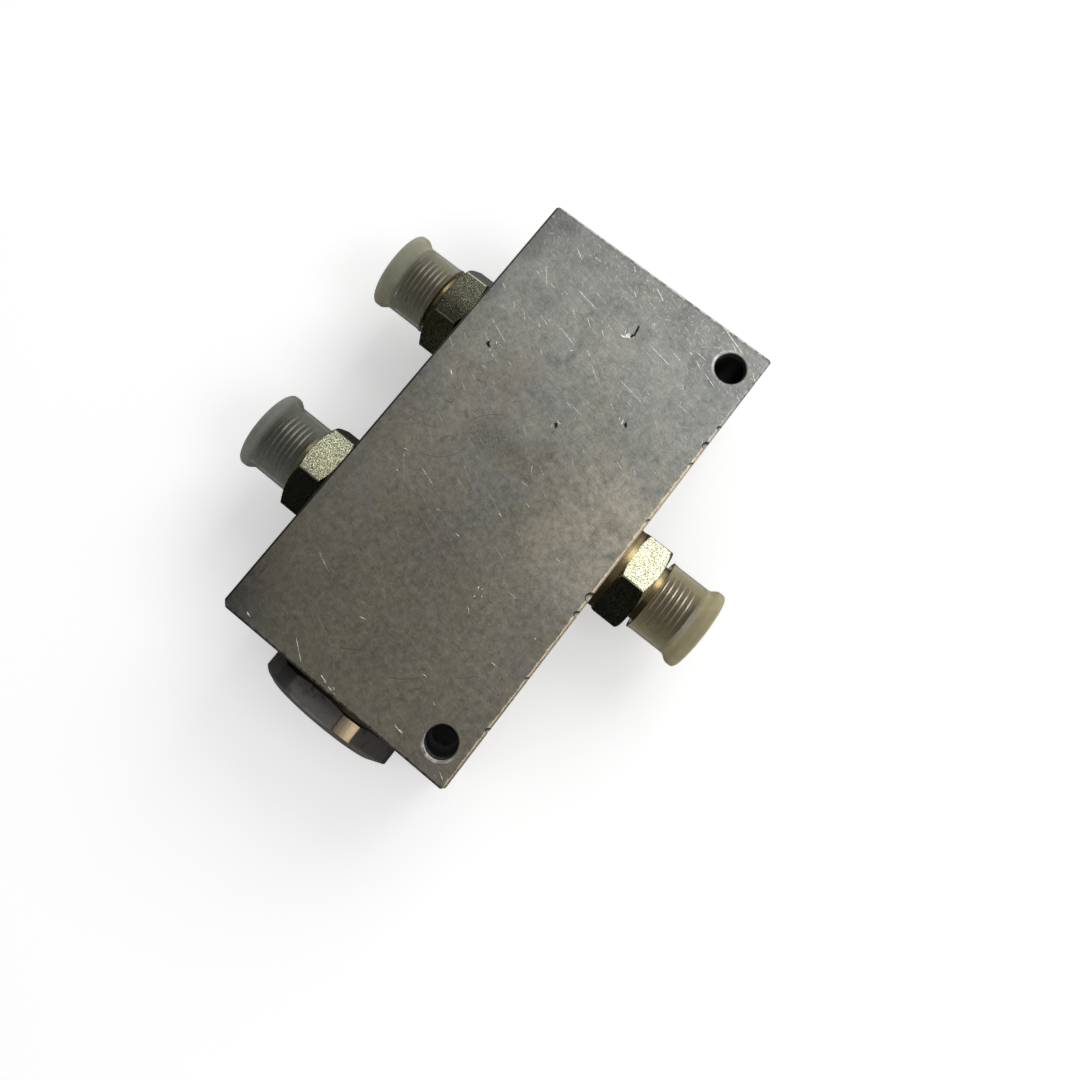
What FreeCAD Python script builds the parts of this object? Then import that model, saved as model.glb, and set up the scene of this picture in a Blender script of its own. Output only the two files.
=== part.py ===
import FreeCAD, Part
import math
import os

import Sketcher

# Spool-type hydraulic flow divider in a rectangular block, millimetres.
# The origin is the centre of the block's bottom face. +X points to the screwed plug,
# +Y to the inlet and the mounting holes, +Z up through the mounting holes.

Vector = FreeCAD.Vector
Rotation = FreeCAD.Rotation

# Driving dimensions, one row for each size that can be set by itself.
SIZES = (
    # block
    ("block_width", 62.0),
    ("block_height", 42.0),
    ("block_chamfer", 0.5),
    # mounting holes
    ("bolt_hole_dia", 7.0),
    ("bolt_hole_chamfer", 0.4),
    ("bolt_hole_end_inset", 7.5),
    ("bolt_hole_side_inset", 6.5),
    # spool bore
    ("bore_height", 21.0),
    ("bore_dia", 20.0),
    ("blind_wall", 8.0),
    ("spring_pocket_dia", 13.0),
    ("spring_pocket_depth", 3.4),
    ("gallery_dia", 25.0),
    ("inlet_gallery_width", 14.0),
    ("outlet_gallery_width", 10.0),
    ("plug_thread_dia", 30.0),
    ("plug_mouth_chamfer", 0.4),
    # ports
    ("outlet_spacing", 26.2),
    ("port_thread_dia", 16.66),
    ("port_thread_depth", 14.0),
    ("port_drill_dia", 9.5),
    ("port_mouth_chamfer", 0.8),
    ("thread_clearance", 0.05),
    ("thread_run_out", 0.8),
    # end plug
    ("plug_head_dia", 35.6),
    ("plug_flats", 32.9),
    ("plug_head_length", 5.9),
    ("plug_chamfer_length", 1.3),
    ("plug_inner_chamfer_length", 0.5),
    ("plug_chamfer_angle", 22.0),
    ("plug_turn", 37.3),
    ("plug_thread_length", 12.0),
    ("plug_relief_dia", 27.4),
    ("plug_relief_length", 2.2),
    ("plug_thread_chamfer", 1.2),
    ("plug_nose_chamfer", 0.5),
    ("plug_nose_length", 6.0),
    ("plug_nose_clearance", 0.1),
    ("plug_washer_dia", 35.4),
    ("plug_washer_thickness", 1.0),
    # adapters
    ("hex_flats", 22.0),
    ("hex_length", 7.5),
    ("hex_corner_relief", 0.12),
    ("hex_chamfer_length", 1.0),
    ("hex_inner_chamfer_length", 0.6),
    ("hex_chamfer_angle", 30.0),
    ("hex_collar_dia", 21.8),
    ("hex_collar_length", 1.0),
    ("adapter_shank_length", 13.0),
    ("adapter_relief_dia", 14.9),
    ("adapter_relief_length", 2.5),
    ("adapter_thread_length", 8.5),
    ("adapter_thread_chamfer", 1.0),
    ("adapter_bore_dia", 9.5),
    ("adapter_seat_dia", 13.2),
    ("adapter_seat_angle", 60.0),
    ("inlet_turn", 41.5),
    ("outlet_a_turn", 4.0),
    ("outlet_b_turn", 16.5),
    # bonded seals
    ("seal_ring_dia", 21.9),
    ("seal_lip_outer_dia", 19.2),
    ("seal_lip_inner_dia", 17.2),
    ("seal_thickness", 1.3),
    ("seal_lip_bead", 0.35),
    # protective caps
    ("cap_dia", 18.5),
    ("cap_clearance", 0.1),
    ("cap_length", 14.3),
    ("cap_end_thickness", 1.3),
    ("cap_flange_dia", 20.9),
    ("cap_flange_length", 1.9),
    ("cap_flare_length", 2.4),
    ("cap_edge_radius", 0.9),
    ("cap_rim_chamfer", 0.25),
    ("inlet_cap_gap", 1.7),
    ("outlet_cap_gap_a", 1.8),
    ("outlet_cap_gap_b", 0.25),
    # spool
    ("spool_past_outlet", 14.8),
    ("spool_end_room", 4.3),
    ("spool_clearance", 0.03),
    ("spool_groove_dia", 15.0),
    ("spool_groove_width", 12.0),
    ("spool_chamber_dia", 8.5),
    ("spool_chamber_length", 16.0),
    ("spool_bore_dia", 10.5),
    ("spool_spring_bore_depth", 8.0),
    ("spool_end_chamfer", 0.5),
    ("inlet_hole_dia", 5.5),
    ("inlet_hole_count", 4),
    ("metering_hole_dia", 4.5),
    ("metering_hole_count", 6),
    ("metering_overlap", 3.0),
    ("balance_groove_width", 0.6),
    ("balance_groove_depth", 0.5),
    ("balance_groove_spacing", 3.4),
    ("balance_groove_start", 10.0),
    ("balance_groove_end_inset", 5.0),
    # orifice discs and snap rings
    ("orifice_disc_thickness", 2.5),
    ("orifice_disc_clearance", 0.05),
    ("orifice_dia", 3.2),
    ("orifice_land", 1.2),
    ("orifice_countersink_dia", 6.5),
    ("snap_ring_thickness", 1.0),
    ("snap_ring_groove_depth", 0.3),
    ("snap_ring_width", 1.3),
    ("snap_ring_gap", 3.6),
    ("snap_ring_clearance", 0.1),
    # centring springs
    ("spring_outer_dia", 12.0),
    ("spring_wire_dia", 1.2),
    ("spring_active_turns", 3.0),
    ("spring_end_turns", 0.75),
    ("spring_end_coil_gap", 0.06),
    ("spring_ground_depth", 0.3),
)

ALIASES = {name for name, _ in SIZES}
PORTS = ("inlet", "outlet_a", "outlet_b")

doc = FreeCAD.newDocument("flow_divider")
sizes = doc.addObject("Spreadsheet::Sheet", "sizes")
for row, (alias, value) in enumerate(SIZES, start=1):
    sizes.set(f"A{row}", alias)
    sizes.set(f"B{row}", str(value))
    sizes.setAlias(f"B{row}", alias)
doc.recompute()


def size(text):
    """Value of an expression over the sheet's aliases, in millimetres or degrees."""
    value = sizes.evalExpression(text)
    return float(getattr(value, "Value", value))


def tied(text):
    """Expression text with each whole word that is an alias tied to the sheet."""
    words = []
    word = ""
    for letter in text + " ":
        if letter.isalnum() or letter == "_":
            word += letter
            continue
        words.append("sizes." + word if word in ALIASES else word)
        words.append(letter)
        word = ""
    return "".join(words).strip()


def origin_of(body, role):
    """Origin plane or axis of a body, found by its role."""
    return [item for item in body.Origin.OriginFeatures if item.Role == role][0]


def new_body(name):
    body = doc.addObject("PartDesign::Body", name)
    body.Label = name
    return body


def new_sketch(body, name, role="XZ_Plane", offset=None):
    """Empty sketch on one of the body's own origin planes, optionally offset along its normal."""
    sketch = body.newObject("Sketcher::SketchObject", name)
    sketch.AttachmentSupport = [(origin_of(body, role), "")]
    sketch.MapMode = "FlatFace"
    if offset:
        sketch.setExpression("AttachmentOffset.Base.z", tied(offset))
    return sketch


def add_outline(sketch, corners):
    """Closed outline through corners given as pairs of expressions, each tied to the sheet."""
    first = len(sketch.Geometry)
    count = len(corners)
    points = [Vector(size(tied(x)), size(tied(y)), 0) for x, y in corners]
    for k in range(count):
        sketch.addGeometry(Part.LineSegment(points[k], points[(k + 1) % count]), False)
    for k in range(count):
        following = first + (k + 1) % count
        sketch.addConstraint(Sketcher.Constraint("Coincident", first + k, 2, following, 1))
    for k, (x, y) in enumerate(corners):
        for kind, text, value in (("DistanceX", x, points[k].x), ("DistanceY", y, points[k].y)):
            index = sketch.addConstraint(Sketcher.Constraint(kind, -1, 1, first + k, 1, value))
            sketch.setExpression(f"Constraints[{index}]", tied(text))


def add_circle(sketch, x, y, diameter):
    """Circle whose centre and diameter are tied to the sheet."""
    centre = Vector(size(tied(x)), size(tied(y)), 0)
    diameter_now = size(tied(diameter))
    circle = sketch.addGeometry(Part.Circle(centre, Vector(0, 0, 1), diameter_now / 2), False)
    for kind, text, value in (("DistanceX", x, centre.x), ("DistanceY", y, centre.y)):
        index = sketch.addConstraint(Sketcher.Constraint(kind, -1, 1, circle, 3, value))
        sketch.setExpression(f"Constraints[{index}]", tied(text))
    index = sketch.addConstraint(Sketcher.Constraint("Diameter", circle, diameter_now))
    sketch.setExpression(f"Constraints[{index}]", tied(diameter))


def revolve(body, name, corners, cut=False, axis="Z_Axis"):
    """Solid of revolution of an outline about one of the body's axes, added or cut away."""
    sketch = new_sketch(body, name + "_profile")
    add_outline(sketch, corners)
    kind = "PartDesign::Groove" if cut else "PartDesign::Revolution"
    feature = body.newObject(kind, name)
    feature.Profile = sketch
    feature.ReferenceAxis = (origin_of(body, axis), [""])
    feature.Angle = 360
    doc.recompute()
    return feature


def pocket(body, sketch, name, length=None, reverse=False):
    """Pocket of a sketch, through everything or to a stated depth, and never an empty cut."""
    before = body.Shape.Volume
    feature = body.newObject("PartDesign::Pocket", name)
    feature.Profile = sketch
    feature.Type = 0 if length else 1
    feature.Reversed = reverse
    if length:
        feature.setExpression("Length", tied(length))
    doc.recompute()
    if body.Shape.Volume > before - 1e-6:
        raise RuntimeError(f"{name} removes nothing")
    return feature


def circles_of(body, diameter, along, at):
    """Names of the circular edges of a diameter whose centre has a coordinate along an axis."""
    names = []
    shape = body.Tip.Shape
    for index, edge in enumerate(shape.Edges, start=1):
        if not isinstance(edge.Curve, Part.Circle):
            continue
        same_size = abs(edge.Curve.Radius - diameter / 2) < 1e-4
        if same_size and abs(getattr(edge.Curve.Center, along) - at) < 1e-4:
            names.append(f"Edge{index}")
    if not names:
        raise RuntimeError(f"no edge of {diameter} at {along} {at}")
    return names


def chamfer(body, name, edges, length):
    base = body.Tip
    feature = body.newObject("PartDesign::Chamfer", name)
    feature.Base = (base, edges)
    feature.setExpression("Size", tied(length))
    doc.recompute()
    return feature


def fillet(body, name, edges, radius):
    base = body.Tip
    feature = body.newObject("PartDesign::Fillet", name)
    feature.Base = (base, edges)
    feature.setExpression("Radius", tied(radius))
    doc.recompute()
    return feature


def mill_flats(body, name, flats, turn, blank, start, length):
    """Six flats milled on a turned blank: the ring between the blank and the hexagon goes."""
    sketch = new_sketch(body, name + "_outline", "XY_Plane", start)
    reach = f"{flats} / 2 / cos(30 deg)"
    corners = []
    for k in range(6):
        angle = f"(({turn}) * 1 deg + {60 * k} deg)"
        corners.append((f"{reach} * cos{angle}", f"{reach} * sin{angle}"))
    add_outline(sketch, corners)
    add_circle(sketch, "0", "0", f"{blank} * 1.5")
    return pocket(body, sketch, name, length, reverse=True)


def polar(body, feature, name, count, axis="Z_Axis"):
    """Feature repeated evenly round an axis of the body."""
    pattern = body.newObject("PartDesign::PolarPattern", name)
    pattern.Originals = [feature]
    pattern.Axis = (origin_of(body, axis), [""])
    pattern.Angle = 360
    pattern.setExpression("Occurrences", tied(count))
    body.Tip = pattern
    doc.recompute()
    return pattern


def place(item, rotation, x="0", y="0", z="0"):
    """Turn a sub-part and tie its position to the sheet."""
    item.Placement = FreeCAD.Placement(Vector(0, 0, 0), rotation)
    item.setExpression(".Placement.Base.x", tied(x))
    item.setExpression(".Placement.Base.y", tied(y))
    item.setExpression(".Placement.Base.z", tied(z))
    doc.recompute()


# Places that several pieces share, as expressions over the sheet. The spool is centred on
# the inlet, and the room that it needs at both ends sets how long the block is.
SPOOL_HALF = "(outlet_spacing + spool_past_outlet)"
SPOOL_ROOM = f"({SPOOL_HALF} + spool_end_room)"
BLIND_END_REACH = f"({SPOOL_ROOM} + spring_pocket_depth + blind_wall)"
PLUG_END_REACH = f"({SPOOL_ROOM} + plug_nose_length + plug_thread_length)"
HALF_LENGTH = f"(({BLIND_END_REACH} + {PLUG_END_REACH}) / 2)"
HALF_WIDTH = "block_width / 2"
SPOOL_X = f"({BLIND_END_REACH} - {HALF_LENGTH})"
PORT_X = {
    "inlet": SPOOL_X,
    "outlet_a": f"({SPOOL_X} - outlet_spacing)",
    "outlet_b": f"({SPOOL_X} + outlet_spacing)",
}
CUT_MARGIN = 1
PAST_END = f"{HALF_LENGTH} + {CUT_MARGIN}"
PLUG_NOSE_X = f"({HALF_LENGTH} - plug_thread_length - plug_nose_length)"
PLUG_POCKET_X = f"({PLUG_NOSE_X} + spring_pocket_depth)"
BLIND_X = f"(blind_wall - {HALF_LENGTH})"
BORE_END_X = f"({BLIND_X} + spring_pocket_depth)"
HEX_START = "(seal_thickness + hex_collar_length)"
HEX_END = f"({HEX_START} + hex_length)"
THREAD_END = f"({HEX_END} + adapter_relief_length + adapter_thread_length)"
HEX_REACH = "(hex_flats / 2 / cos(30 deg) - hex_corner_relief)"

# Local +Z of a turned piece is turned to the side that the piece stands on.
TO_PLUS_X = Rotation(Vector(0, 1, 0), 90)
TO_PLUS_Y = Rotation(Vector(1, 0, 0), -90)
TO_MINUS_Y = Rotation(Vector(1, 0, 0), 90)
TURNED_TO = {"inlet": TO_PLUS_Y, "outlet_a": TO_MINUS_Y, "outlet_b": TO_MINUS_Y}
SIDE = {"inlet": "", "outlet_a": "-", "outlet_b": "-"}


def node_name(port, piece):
    """inlet_cap on the inlet, outlet_cap_a and outlet_cap_b on the outlets."""
    side, _, letter = port.partition("_")
    return f"{side}_{piece}_{letter}" if letter else f"{side}_{piece}"


def make_valve_body():
    """Block with the blind spool bore, its annular galleries, three ports and two bolt holes."""
    body = new_body("valve_body")
    outline = new_sketch(body, "block_outline", "XY_Plane", "-bore_height")
    add_outline(outline, [
        (f"-{HALF_LENGTH}", f"-{HALF_WIDTH}"),
        (HALF_LENGTH, f"-{HALF_WIDTH}"),
        (HALF_LENGTH, HALF_WIDTH),
        (f"-{HALF_LENGTH}", HALF_WIDTH),
    ])
    block = body.newObject("PartDesign::Pad", "block")
    block.Profile = outline
    block.setExpression("Length", tied("block_height"))
    doc.recompute()
    every_edge = [f"Edge{k + 1}" for k in range(len(block.Shape.Edges))]
    chamfer(body, "block_edges", every_edge, "block_chamfer")

    # The bore steps from the plug's thread to the spool bore and the spring pocket,
    # and widens into a gallery at each port.
    mouth = "(plug_thread_dia / 2 + thread_clearance)"
    mouth_end = f"({HALF_LENGTH} - plug_thread_length)"
    bore = "bore_dia / 2"
    profile = [(PAST_END, "0"), (BLIND_X, "0")]
    profile += [(BLIND_X, "spring_pocket_dia / 2"), (BORE_END_X, "spring_pocket_dia / 2")]
    profile += [(BORE_END_X, bore)]
    for port in ("outlet_a", "inlet", "outlet_b"):
        half = ("inlet" if port == "inlet" else "outlet") + "_gallery_width / 2"
        profile += [(f"{PORT_X[port]} - {half}", bore)]
        profile += [(f"{PORT_X[port]} - {half}", "gallery_dia / 2")]
        profile += [(f"{PORT_X[port]} + {half}", "gallery_dia / 2")]
        profile += [(f"{PORT_X[port]} + {half}", bore)]
    profile += [(mouth_end, bore), (mouth_end, mouth)]
    profile += [(f"{HALF_LENGTH} - plug_mouth_chamfer", mouth)]
    profile += [(HALF_LENGTH, f"{mouth} + plug_mouth_chamfer")]
    profile += [(PAST_END, f"{mouth} + plug_mouth_chamfer")]
    revolve(body, "spool_bore", profile, cut=True, axis="X_Axis")

    # The normal of a sketch on the XZ plane points to -Y.
    threads = "port_thread_dia + 2 * thread_clearance"
    for side, offset, ports, inward in (
        ("inlet_side", f"-{HALF_WIDTH}", ("inlet",), False),
        ("outlet_side", HALF_WIDTH, ("outlet_a", "outlet_b"), True),
    ):
        for step, diameter, depth in (
            ("threads", threads, "port_thread_depth"),
            ("drillings", "port_drill_dia", HALF_WIDTH),
        ):
            sketch = new_sketch(body, f"{side}_{step}_sketch", "XZ_Plane", offset)
            for port in ports:
                add_circle(sketch, PORT_X[port], "0", diameter)
            pocket(body, sketch, f"{side}_{step}", depth, reverse=not inward)
    for side, at in (("inlet_side", 0.5), ("outlet_side", -0.5)):
        mouths = circles_of(body, size(tied(threads)), "y", at * size("block_width"))
        chamfer(body, side + "_mouths", mouths, "port_mouth_chamfer")

    bolts = new_sketch(body, "bolt_hole_sketch", "XY_Plane", "block_height - bore_height")
    for sign in ("-", ""):
        along = f"{sign}({HALF_LENGTH} - bolt_hole_end_inset)"
        add_circle(bolts, along, f"{HALF_WIDTH} - bolt_hole_side_inset", "bolt_hole_dia")
    pocket(body, bolts, "bolt_holes", "block_height")
    for name, level in (("top", "block_height - bore_height"), ("bottom", "-bore_height")):
        rims = circles_of(body, size("bolt_hole_dia"), "z", size(level))
        chamfer(body, f"bolt_holes_{name}_rims", rims, "bolt_hole_chamfer")
    place(body, Rotation(), z="bore_height")
    return body


def make_end_plug():
    """Plug turned from bar: six-flat head, relieved threaded shank and nose with spring pocket."""
    body = new_body("end_plug")
    head = "plug_head_dia / 2"
    face = "plug_washer_thickness"
    end = f"({face} + plug_head_length)"
    thread = "plug_thread_dia / 2"
    relief = "plug_relief_dia / 2"
    nose = "bore_dia / 2 - plug_nose_clearance"
    nose_start = "-plug_thread_length"
    nose_end = "(-plug_thread_length - plug_nose_length)"
    slope = "tan(plug_chamfer_angle * 1 deg)"
    revolve(body, "turned_blank", [
        ("0", end),
        (f"{head} - plug_chamfer_length / {slope}", end),
        (head, f"{end} - plug_chamfer_length"),
        (head, f"{face} + plug_inner_chamfer_length"),
        (f"{head} - plug_inner_chamfer_length / {slope}", face),
        (relief, face),
        (relief, f"{face} - plug_relief_length"),
        (thread, f"{face} - plug_relief_length - thread_run_out"),
        (thread, f"{nose_start} + plug_thread_chamfer"),
        (f"{thread} - plug_thread_chamfer", nose_start),
        (nose, nose_start),
        (nose, f"{nose_end} + plug_nose_chamfer"),
        (f"{nose} - plug_nose_chamfer", nose_end),
        ("spring_pocket_dia / 2", nose_end),
        ("spring_pocket_dia / 2", f"{nose_end} + spring_pocket_depth"),
        ("0", f"{nose_end} + spring_pocket_depth"),
    ])
    mill_flats(body, "head_flats", "plug_flats", "plug_turn", "plug_head_dia", face,
               "plug_head_length")
    place(body, TO_PLUS_X, x=HALF_LENGTH, z="bore_height")
    return body


def make_plug_washer():
    """Flat copper washer between the plug's head and the block."""
    body = new_body("plug_washer")
    inner = "plug_thread_dia / 2 + plug_mouth_chamfer"
    revolve(body, "ring", [
        (inner, "0"),
        ("plug_washer_dia / 2", "0"),
        ("plug_washer_dia / 2", "plug_washer_thickness"),
        (inner, "plug_washer_thickness"),
    ])
    place(body, TO_PLUS_X, x=HALF_LENGTH, z="bore_height")
    return body


def make_adapter(port):
    """Hex adapter: port shank, collar, hexagon, relieved male thread, bore and conical seat."""
    body = new_body(node_name(port, "adapter"))
    thread = "port_thread_dia / 2"
    relief = "adapter_relief_dia / 2"
    bore = "adapter_bore_dia / 2"
    seat = "adapter_seat_dia / 2"
    tip = "adapter_thread_chamfer"
    shank_end = "(seal_thickness - adapter_shank_length)"
    thread_start = f"({HEX_END} + adapter_relief_length)"
    slope = "tan(hex_chamfer_angle * 1 deg)"
    seat_depth = f"(({seat} - {bore}) / tan(adapter_seat_angle / 2 * 1 deg))"
    revolve(body, "turned_blank", [
        (bore, shank_end),
        (f"{thread} - {tip}", shank_end),
        (thread, f"{shank_end} + {tip}"),
        (thread, "-thread_run_out"),
        (relief, "0"),
        (relief, "seal_thickness"),
        ("hex_collar_dia / 2", "seal_thickness"),
        ("hex_collar_dia / 2", HEX_START),
        (f"{HEX_REACH} - hex_inner_chamfer_length / {slope}", HEX_START),
        (HEX_REACH, f"{HEX_START} + hex_inner_chamfer_length"),
        (HEX_REACH, f"{HEX_END} - hex_chamfer_length"),
        (f"{HEX_REACH} - hex_chamfer_length / {slope}", HEX_END),
        (relief, HEX_END),
        (relief, f"{thread_start} - thread_run_out"),
        (thread, thread_start),
        (thread, f"{THREAD_END} - {tip}"),
        (f"{thread} - {tip}", THREAD_END),
        (seat, THREAD_END),
        (bore, f"{THREAD_END} - {seat_depth}"),
    ])
    mill_flats(body, "hexagon", "hex_flats", port + "_turn", "hex_flats", HEX_START, "hex_length")
    place(body, TURNED_TO[port], x=PORT_X[port], y=SIDE[port] + HALF_WIDTH, z="bore_height")
    return body


def make_seal(port):
    """Bonded seal in two pieces: a flat steel ring and the beaded rubber lip inside it."""
    ring = new_body(node_name(port, "seal_ring"))
    outer = "seal_lip_outer_dia / 2"
    inner = "seal_lip_inner_dia / 2"
    revolve(ring, "ring", [
        (outer, "0"),
        ("seal_ring_dia / 2", "0"),
        ("seal_ring_dia / 2", "seal_thickness"),
        (outer, "seal_thickness"),
    ])
    lip = new_body(node_name(port, "seal_lip"))
    revolve(lip, "lip", [
        (f"{inner} + seal_lip_bead", "0"),
        (outer, "0"),
        (outer, "seal_thickness"),
        (f"{inner} + seal_lip_bead", "seal_thickness"),
        (inner, "seal_thickness - seal_lip_bead"),
        (inner, "seal_lip_bead"),
    ])
    for piece in (ring, lip):
        place(piece, TURNED_TO[port], x=PORT_X[port], y=SIDE[port] + HALF_WIDTH, z="bore_height")
    return [ring, lip]


def make_cap(port):
    """Push-on protective cap: thin tube over the thread, flared into a round-edged closed end."""
    body = new_body(node_name(port, "cap"))
    rim = f"({HEX_END} + {node_name(port, 'cap_gap')})"
    end = f"({rim} + cap_length)"
    outer = "cap_dia / 2"
    inner = "(port_thread_dia / 2 + cap_clearance)"
    flange = "cap_flange_dia / 2"
    flange_start = f"({end} - cap_flange_length)"
    # The flare follows a quarter wave in three chords, tangent to the tube at its foot.
    flare = [
        (f"{outer} + ({flange} - {outer}) * (1 - cos({30 * k} deg))",
         f"{flange_start} - cap_flare_length + cap_flare_length * sin({30 * k} deg)")
        for k in range(3)
    ]
    revolve(body, "turned_form", [
        ("0", end),
        ("0", f"{end} - cap_end_thickness"),
        (inner, f"{end} - cap_end_thickness"),
        (inner, f"{rim} + cap_rim_chamfer"),
        (f"{inner} + cap_rim_chamfer", rim),
        (outer, rim),
        *flare,
        (flange, flange_start),
        (flange, end),
    ])
    edge = circles_of(body, size("cap_flange_dia"), "z", size(tied(end)))
    fillet(body, "round_edge", edge, "cap_edge_radius")
    place(body, TURNED_TO[port], x=PORT_X[port], y=SIDE[port] + HALF_WIDTH, z="bore_height")
    return body


def make_spool():
    """Hollow spool: centre groove with cross holes, two bored halves and metering holes."""
    body = new_body("divider_spool")
    outer = "(bore_dia / 2 - spool_clearance)"
    half = SPOOL_HALF
    groove = "spool_groove_width / 2"
    chamber = "spool_chamber_length / 2"
    lip = "spool_end_chamfer"
    spring = "spring_pocket_dia / 2"
    bore = "spool_bore_dia / 2"
    step = f"({half} - spool_spring_bore_depth)"
    slot = f"({chamber} + orifice_disc_thickness)"
    slot_end = f"({slot} + snap_ring_thickness + snap_ring_clearance)"
    slot_reach = f"{bore} + snap_ring_groove_depth"
    upper = [
        (spring, half),
        (f"{outer} - {lip}", half),
        (outer, f"{half} - {lip}"),
        (outer, groove),
        ("spool_groove_dia / 2", groove),
    ]
    inside = [
        ("spool_chamber_dia / 2", chamber),
        (bore, chamber),
        (bore, slot),
        (slot_reach, slot),
        (slot_reach, slot_end),
        (bore, slot_end),
        (bore, step),
        (spring, step),
    ]
    mirrored = [(x, f"-({y})") for x, y in reversed(upper)]
    inside_mirrored = [(x, f"-({y})") for x, y in reversed(inside)]
    revolve(body, "turned_form", upper + mirrored + inside_mirrored + inside)

    across = new_sketch(body, "inlet_hole_sketch", "XZ_Plane")
    add_circle(across, "0", "0", "inlet_hole_dia")
    hole = pocket(body, across, "inlet_hole", "bore_dia")
    polar(body, hole, "inlet_holes", "inlet_hole_count")
    for name, sign in (("a", "-"), ("b", "")):
        sketch = new_sketch(body, f"metering_hole_sketch_{name}", "XZ_Plane")
        add_circle(sketch, "0", f"{sign}(outlet_spacing + metering_overlap)", "metering_hole_dia")
        hole = pocket(body, sketch, f"metering_hole_{name}", "bore_dia")
        polar(body, hole, f"metering_holes_{name}", "metering_hole_count")
    for name, sign in (("a", "-"), ("b", "")):
        places = [f"balance_groove_start + {k} * balance_groove_spacing" for k in range(3)]
        places.append(f"{half} - balance_groove_end_inset")
        for k, place_along in enumerate(places, start=1):
            at = f"{sign}({place_along})"
            revolve(body, f"balance_groove_{name}_{k}", [
                (f"{outer} - balance_groove_depth", f"{at} - balance_groove_width / 2"),
                (f"{outer} + {CUT_MARGIN}", f"{at} - balance_groove_width / 2"),
                (f"{outer} + {CUT_MARGIN}", f"{at} + balance_groove_width / 2"),
                (f"{outer} - balance_groove_depth", f"{at} + balance_groove_width / 2"),
            ], cut=True)
    place(body, TO_PLUS_X, x=SPOOL_X, z="bore_height")
    return body


def make_orifice_disc(name, sign):
    """Sharp-edged orifice disc seated on the step at the end of the spool's middle chamber."""
    body = new_body("orifice_disc_" + name)
    outer = "spool_bore_dia / 2 - orifice_disc_clearance"
    seat = "spool_chamber_length / 2"
    back = f"{seat} + orifice_disc_thickness"
    revolve(body, "disc", [
        ("orifice_dia / 2", seat),
        (outer, seat),
        (outer, back),
        ("orifice_countersink_dia / 2", back),
        ("orifice_dia / 2", f"{seat} + orifice_land"),
    ])
    place(body, Rotation(Vector(0, 1, 0), sign * 90), x=SPOOL_X, z="bore_height")
    return body


def make_snap_ring(name, sign):
    """Open internal retaining ring in the spool's slot behind the orifice disc."""
    body = new_body("snap_ring_" + name)
    outer = "spool_bore_dia / 2 + snap_ring_groove_depth - snap_ring_clearance"
    start = "spool_chamber_length / 2 + orifice_disc_thickness"
    revolve(body, "ring", [
        (f"{outer} - snap_ring_width", start),
        (outer, start),
        (outer, f"{start} + snap_ring_thickness"),
        (f"{outer} - snap_ring_width", f"{start} + snap_ring_thickness"),
    ])
    slot = new_sketch(body, "gap_outline", "XY_Plane", start)
    half = "snap_ring_gap / 2"
    add_outline(slot, [("0", f"-{half}"), ("bore_dia / 2", f"-{half}"),
                       ("bore_dia / 2", half), ("0", half)])
    pocket(body, slot, "gap", "snap_ring_thickness", reverse=True)
    place(body, Rotation(Vector(0, 1, 0), sign * 90), x=SPOOL_X, z="bore_height")
    return body


def coil_path(radius, length):
    """Centre line of a spring along +Z: active coils between two closed end coils."""
    wire = size("spring_wire_dia")
    end_turns = size("spring_end_turns")
    active_turns = size("spring_active_turns")
    start = wire / 2 - size("spring_ground_depth")
    end_pitch = wire + size("spring_end_coil_gap")
    active_pitch = (length - 2 * start - 2 * end_turns * end_pitch) / active_turns
    edges = []
    height = start
    turned = 0.0
    for turns, pitch in ((end_turns, end_pitch), (active_turns, active_pitch), (end_turns, end_pitch)):
        helix = Part.makeHelix(pitch, pitch * turns, radius)
        helix.rotate(Vector(0, 0, 0), Vector(0, 0, 1), turned)
        helix.translate(Vector(0, 0, height))
        edges += helix.Edges
        height += pitch * turns
        turned += 360.0 * turns
    return Part.Wire(edges)


def make_spring(name, near, far, rotation):
    """Compression spring with closed, ground ends between its pocket and the spool's step."""
    wire = size("spring_wire_dia")
    radius = (size("spring_outer_dia") - wire) / 2
    length = abs(size(tied(far)) - size(tied(near)))
    path = coil_path(radius, length)
    start = path.Vertexes[0].Point
    section = Part.Wire(Part.makeCircle(wire / 2, start, Vector(0, 1, 0)))
    coil = path.makePipeShell([section], True, True)
    ground = coil.common(Part.makeCylinder(radius + wire, length))
    spring = doc.addObject("Part::Feature", "centring_spring_" + name)
    spring.Label = "centring_spring_" + name
    spring.Shape = ground.Solids[0]
    place(spring, rotation, x=near, z="bore_height")
    return spring


nodes = [make_valve_body(), make_end_plug(), make_plug_washer()]
for port_name in PORTS:
    nodes.append(make_adapter(port_name))
    nodes += make_seal(port_name)
    nodes.append(make_cap(port_name))
nodes.append(make_spool())
for letter, direction in (("a", -1), ("b", 1)):
    nodes.append(make_orifice_disc(letter, direction))
    nodes.append(make_snap_ring(letter, direction))
spring_seat = f"({SPOOL_HALF} - spool_spring_bore_depth)"
nodes.append(make_spring("a", BLIND_X, f"{SPOOL_X} - {spring_seat}", TO_PLUS_X))
nodes.append(make_spring("b", PLUG_POCKET_X, f"{SPOOL_X} + {spring_seat}",
                         Rotation(Vector(0, 1, 0), -90)))

doc.recompute()
for item in doc.Objects:
    if "Invalid" in item.State or "Error" in item.State:
        raise RuntimeError(f"{item.Label} failed: {item.State}")
for item in nodes:
    if item.Shape.isNull() or not item.Shape.isValid() or len(item.Shape.Solids) != 1:
        raise RuntimeError(f"{item.Label} is not one valid solid")

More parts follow.
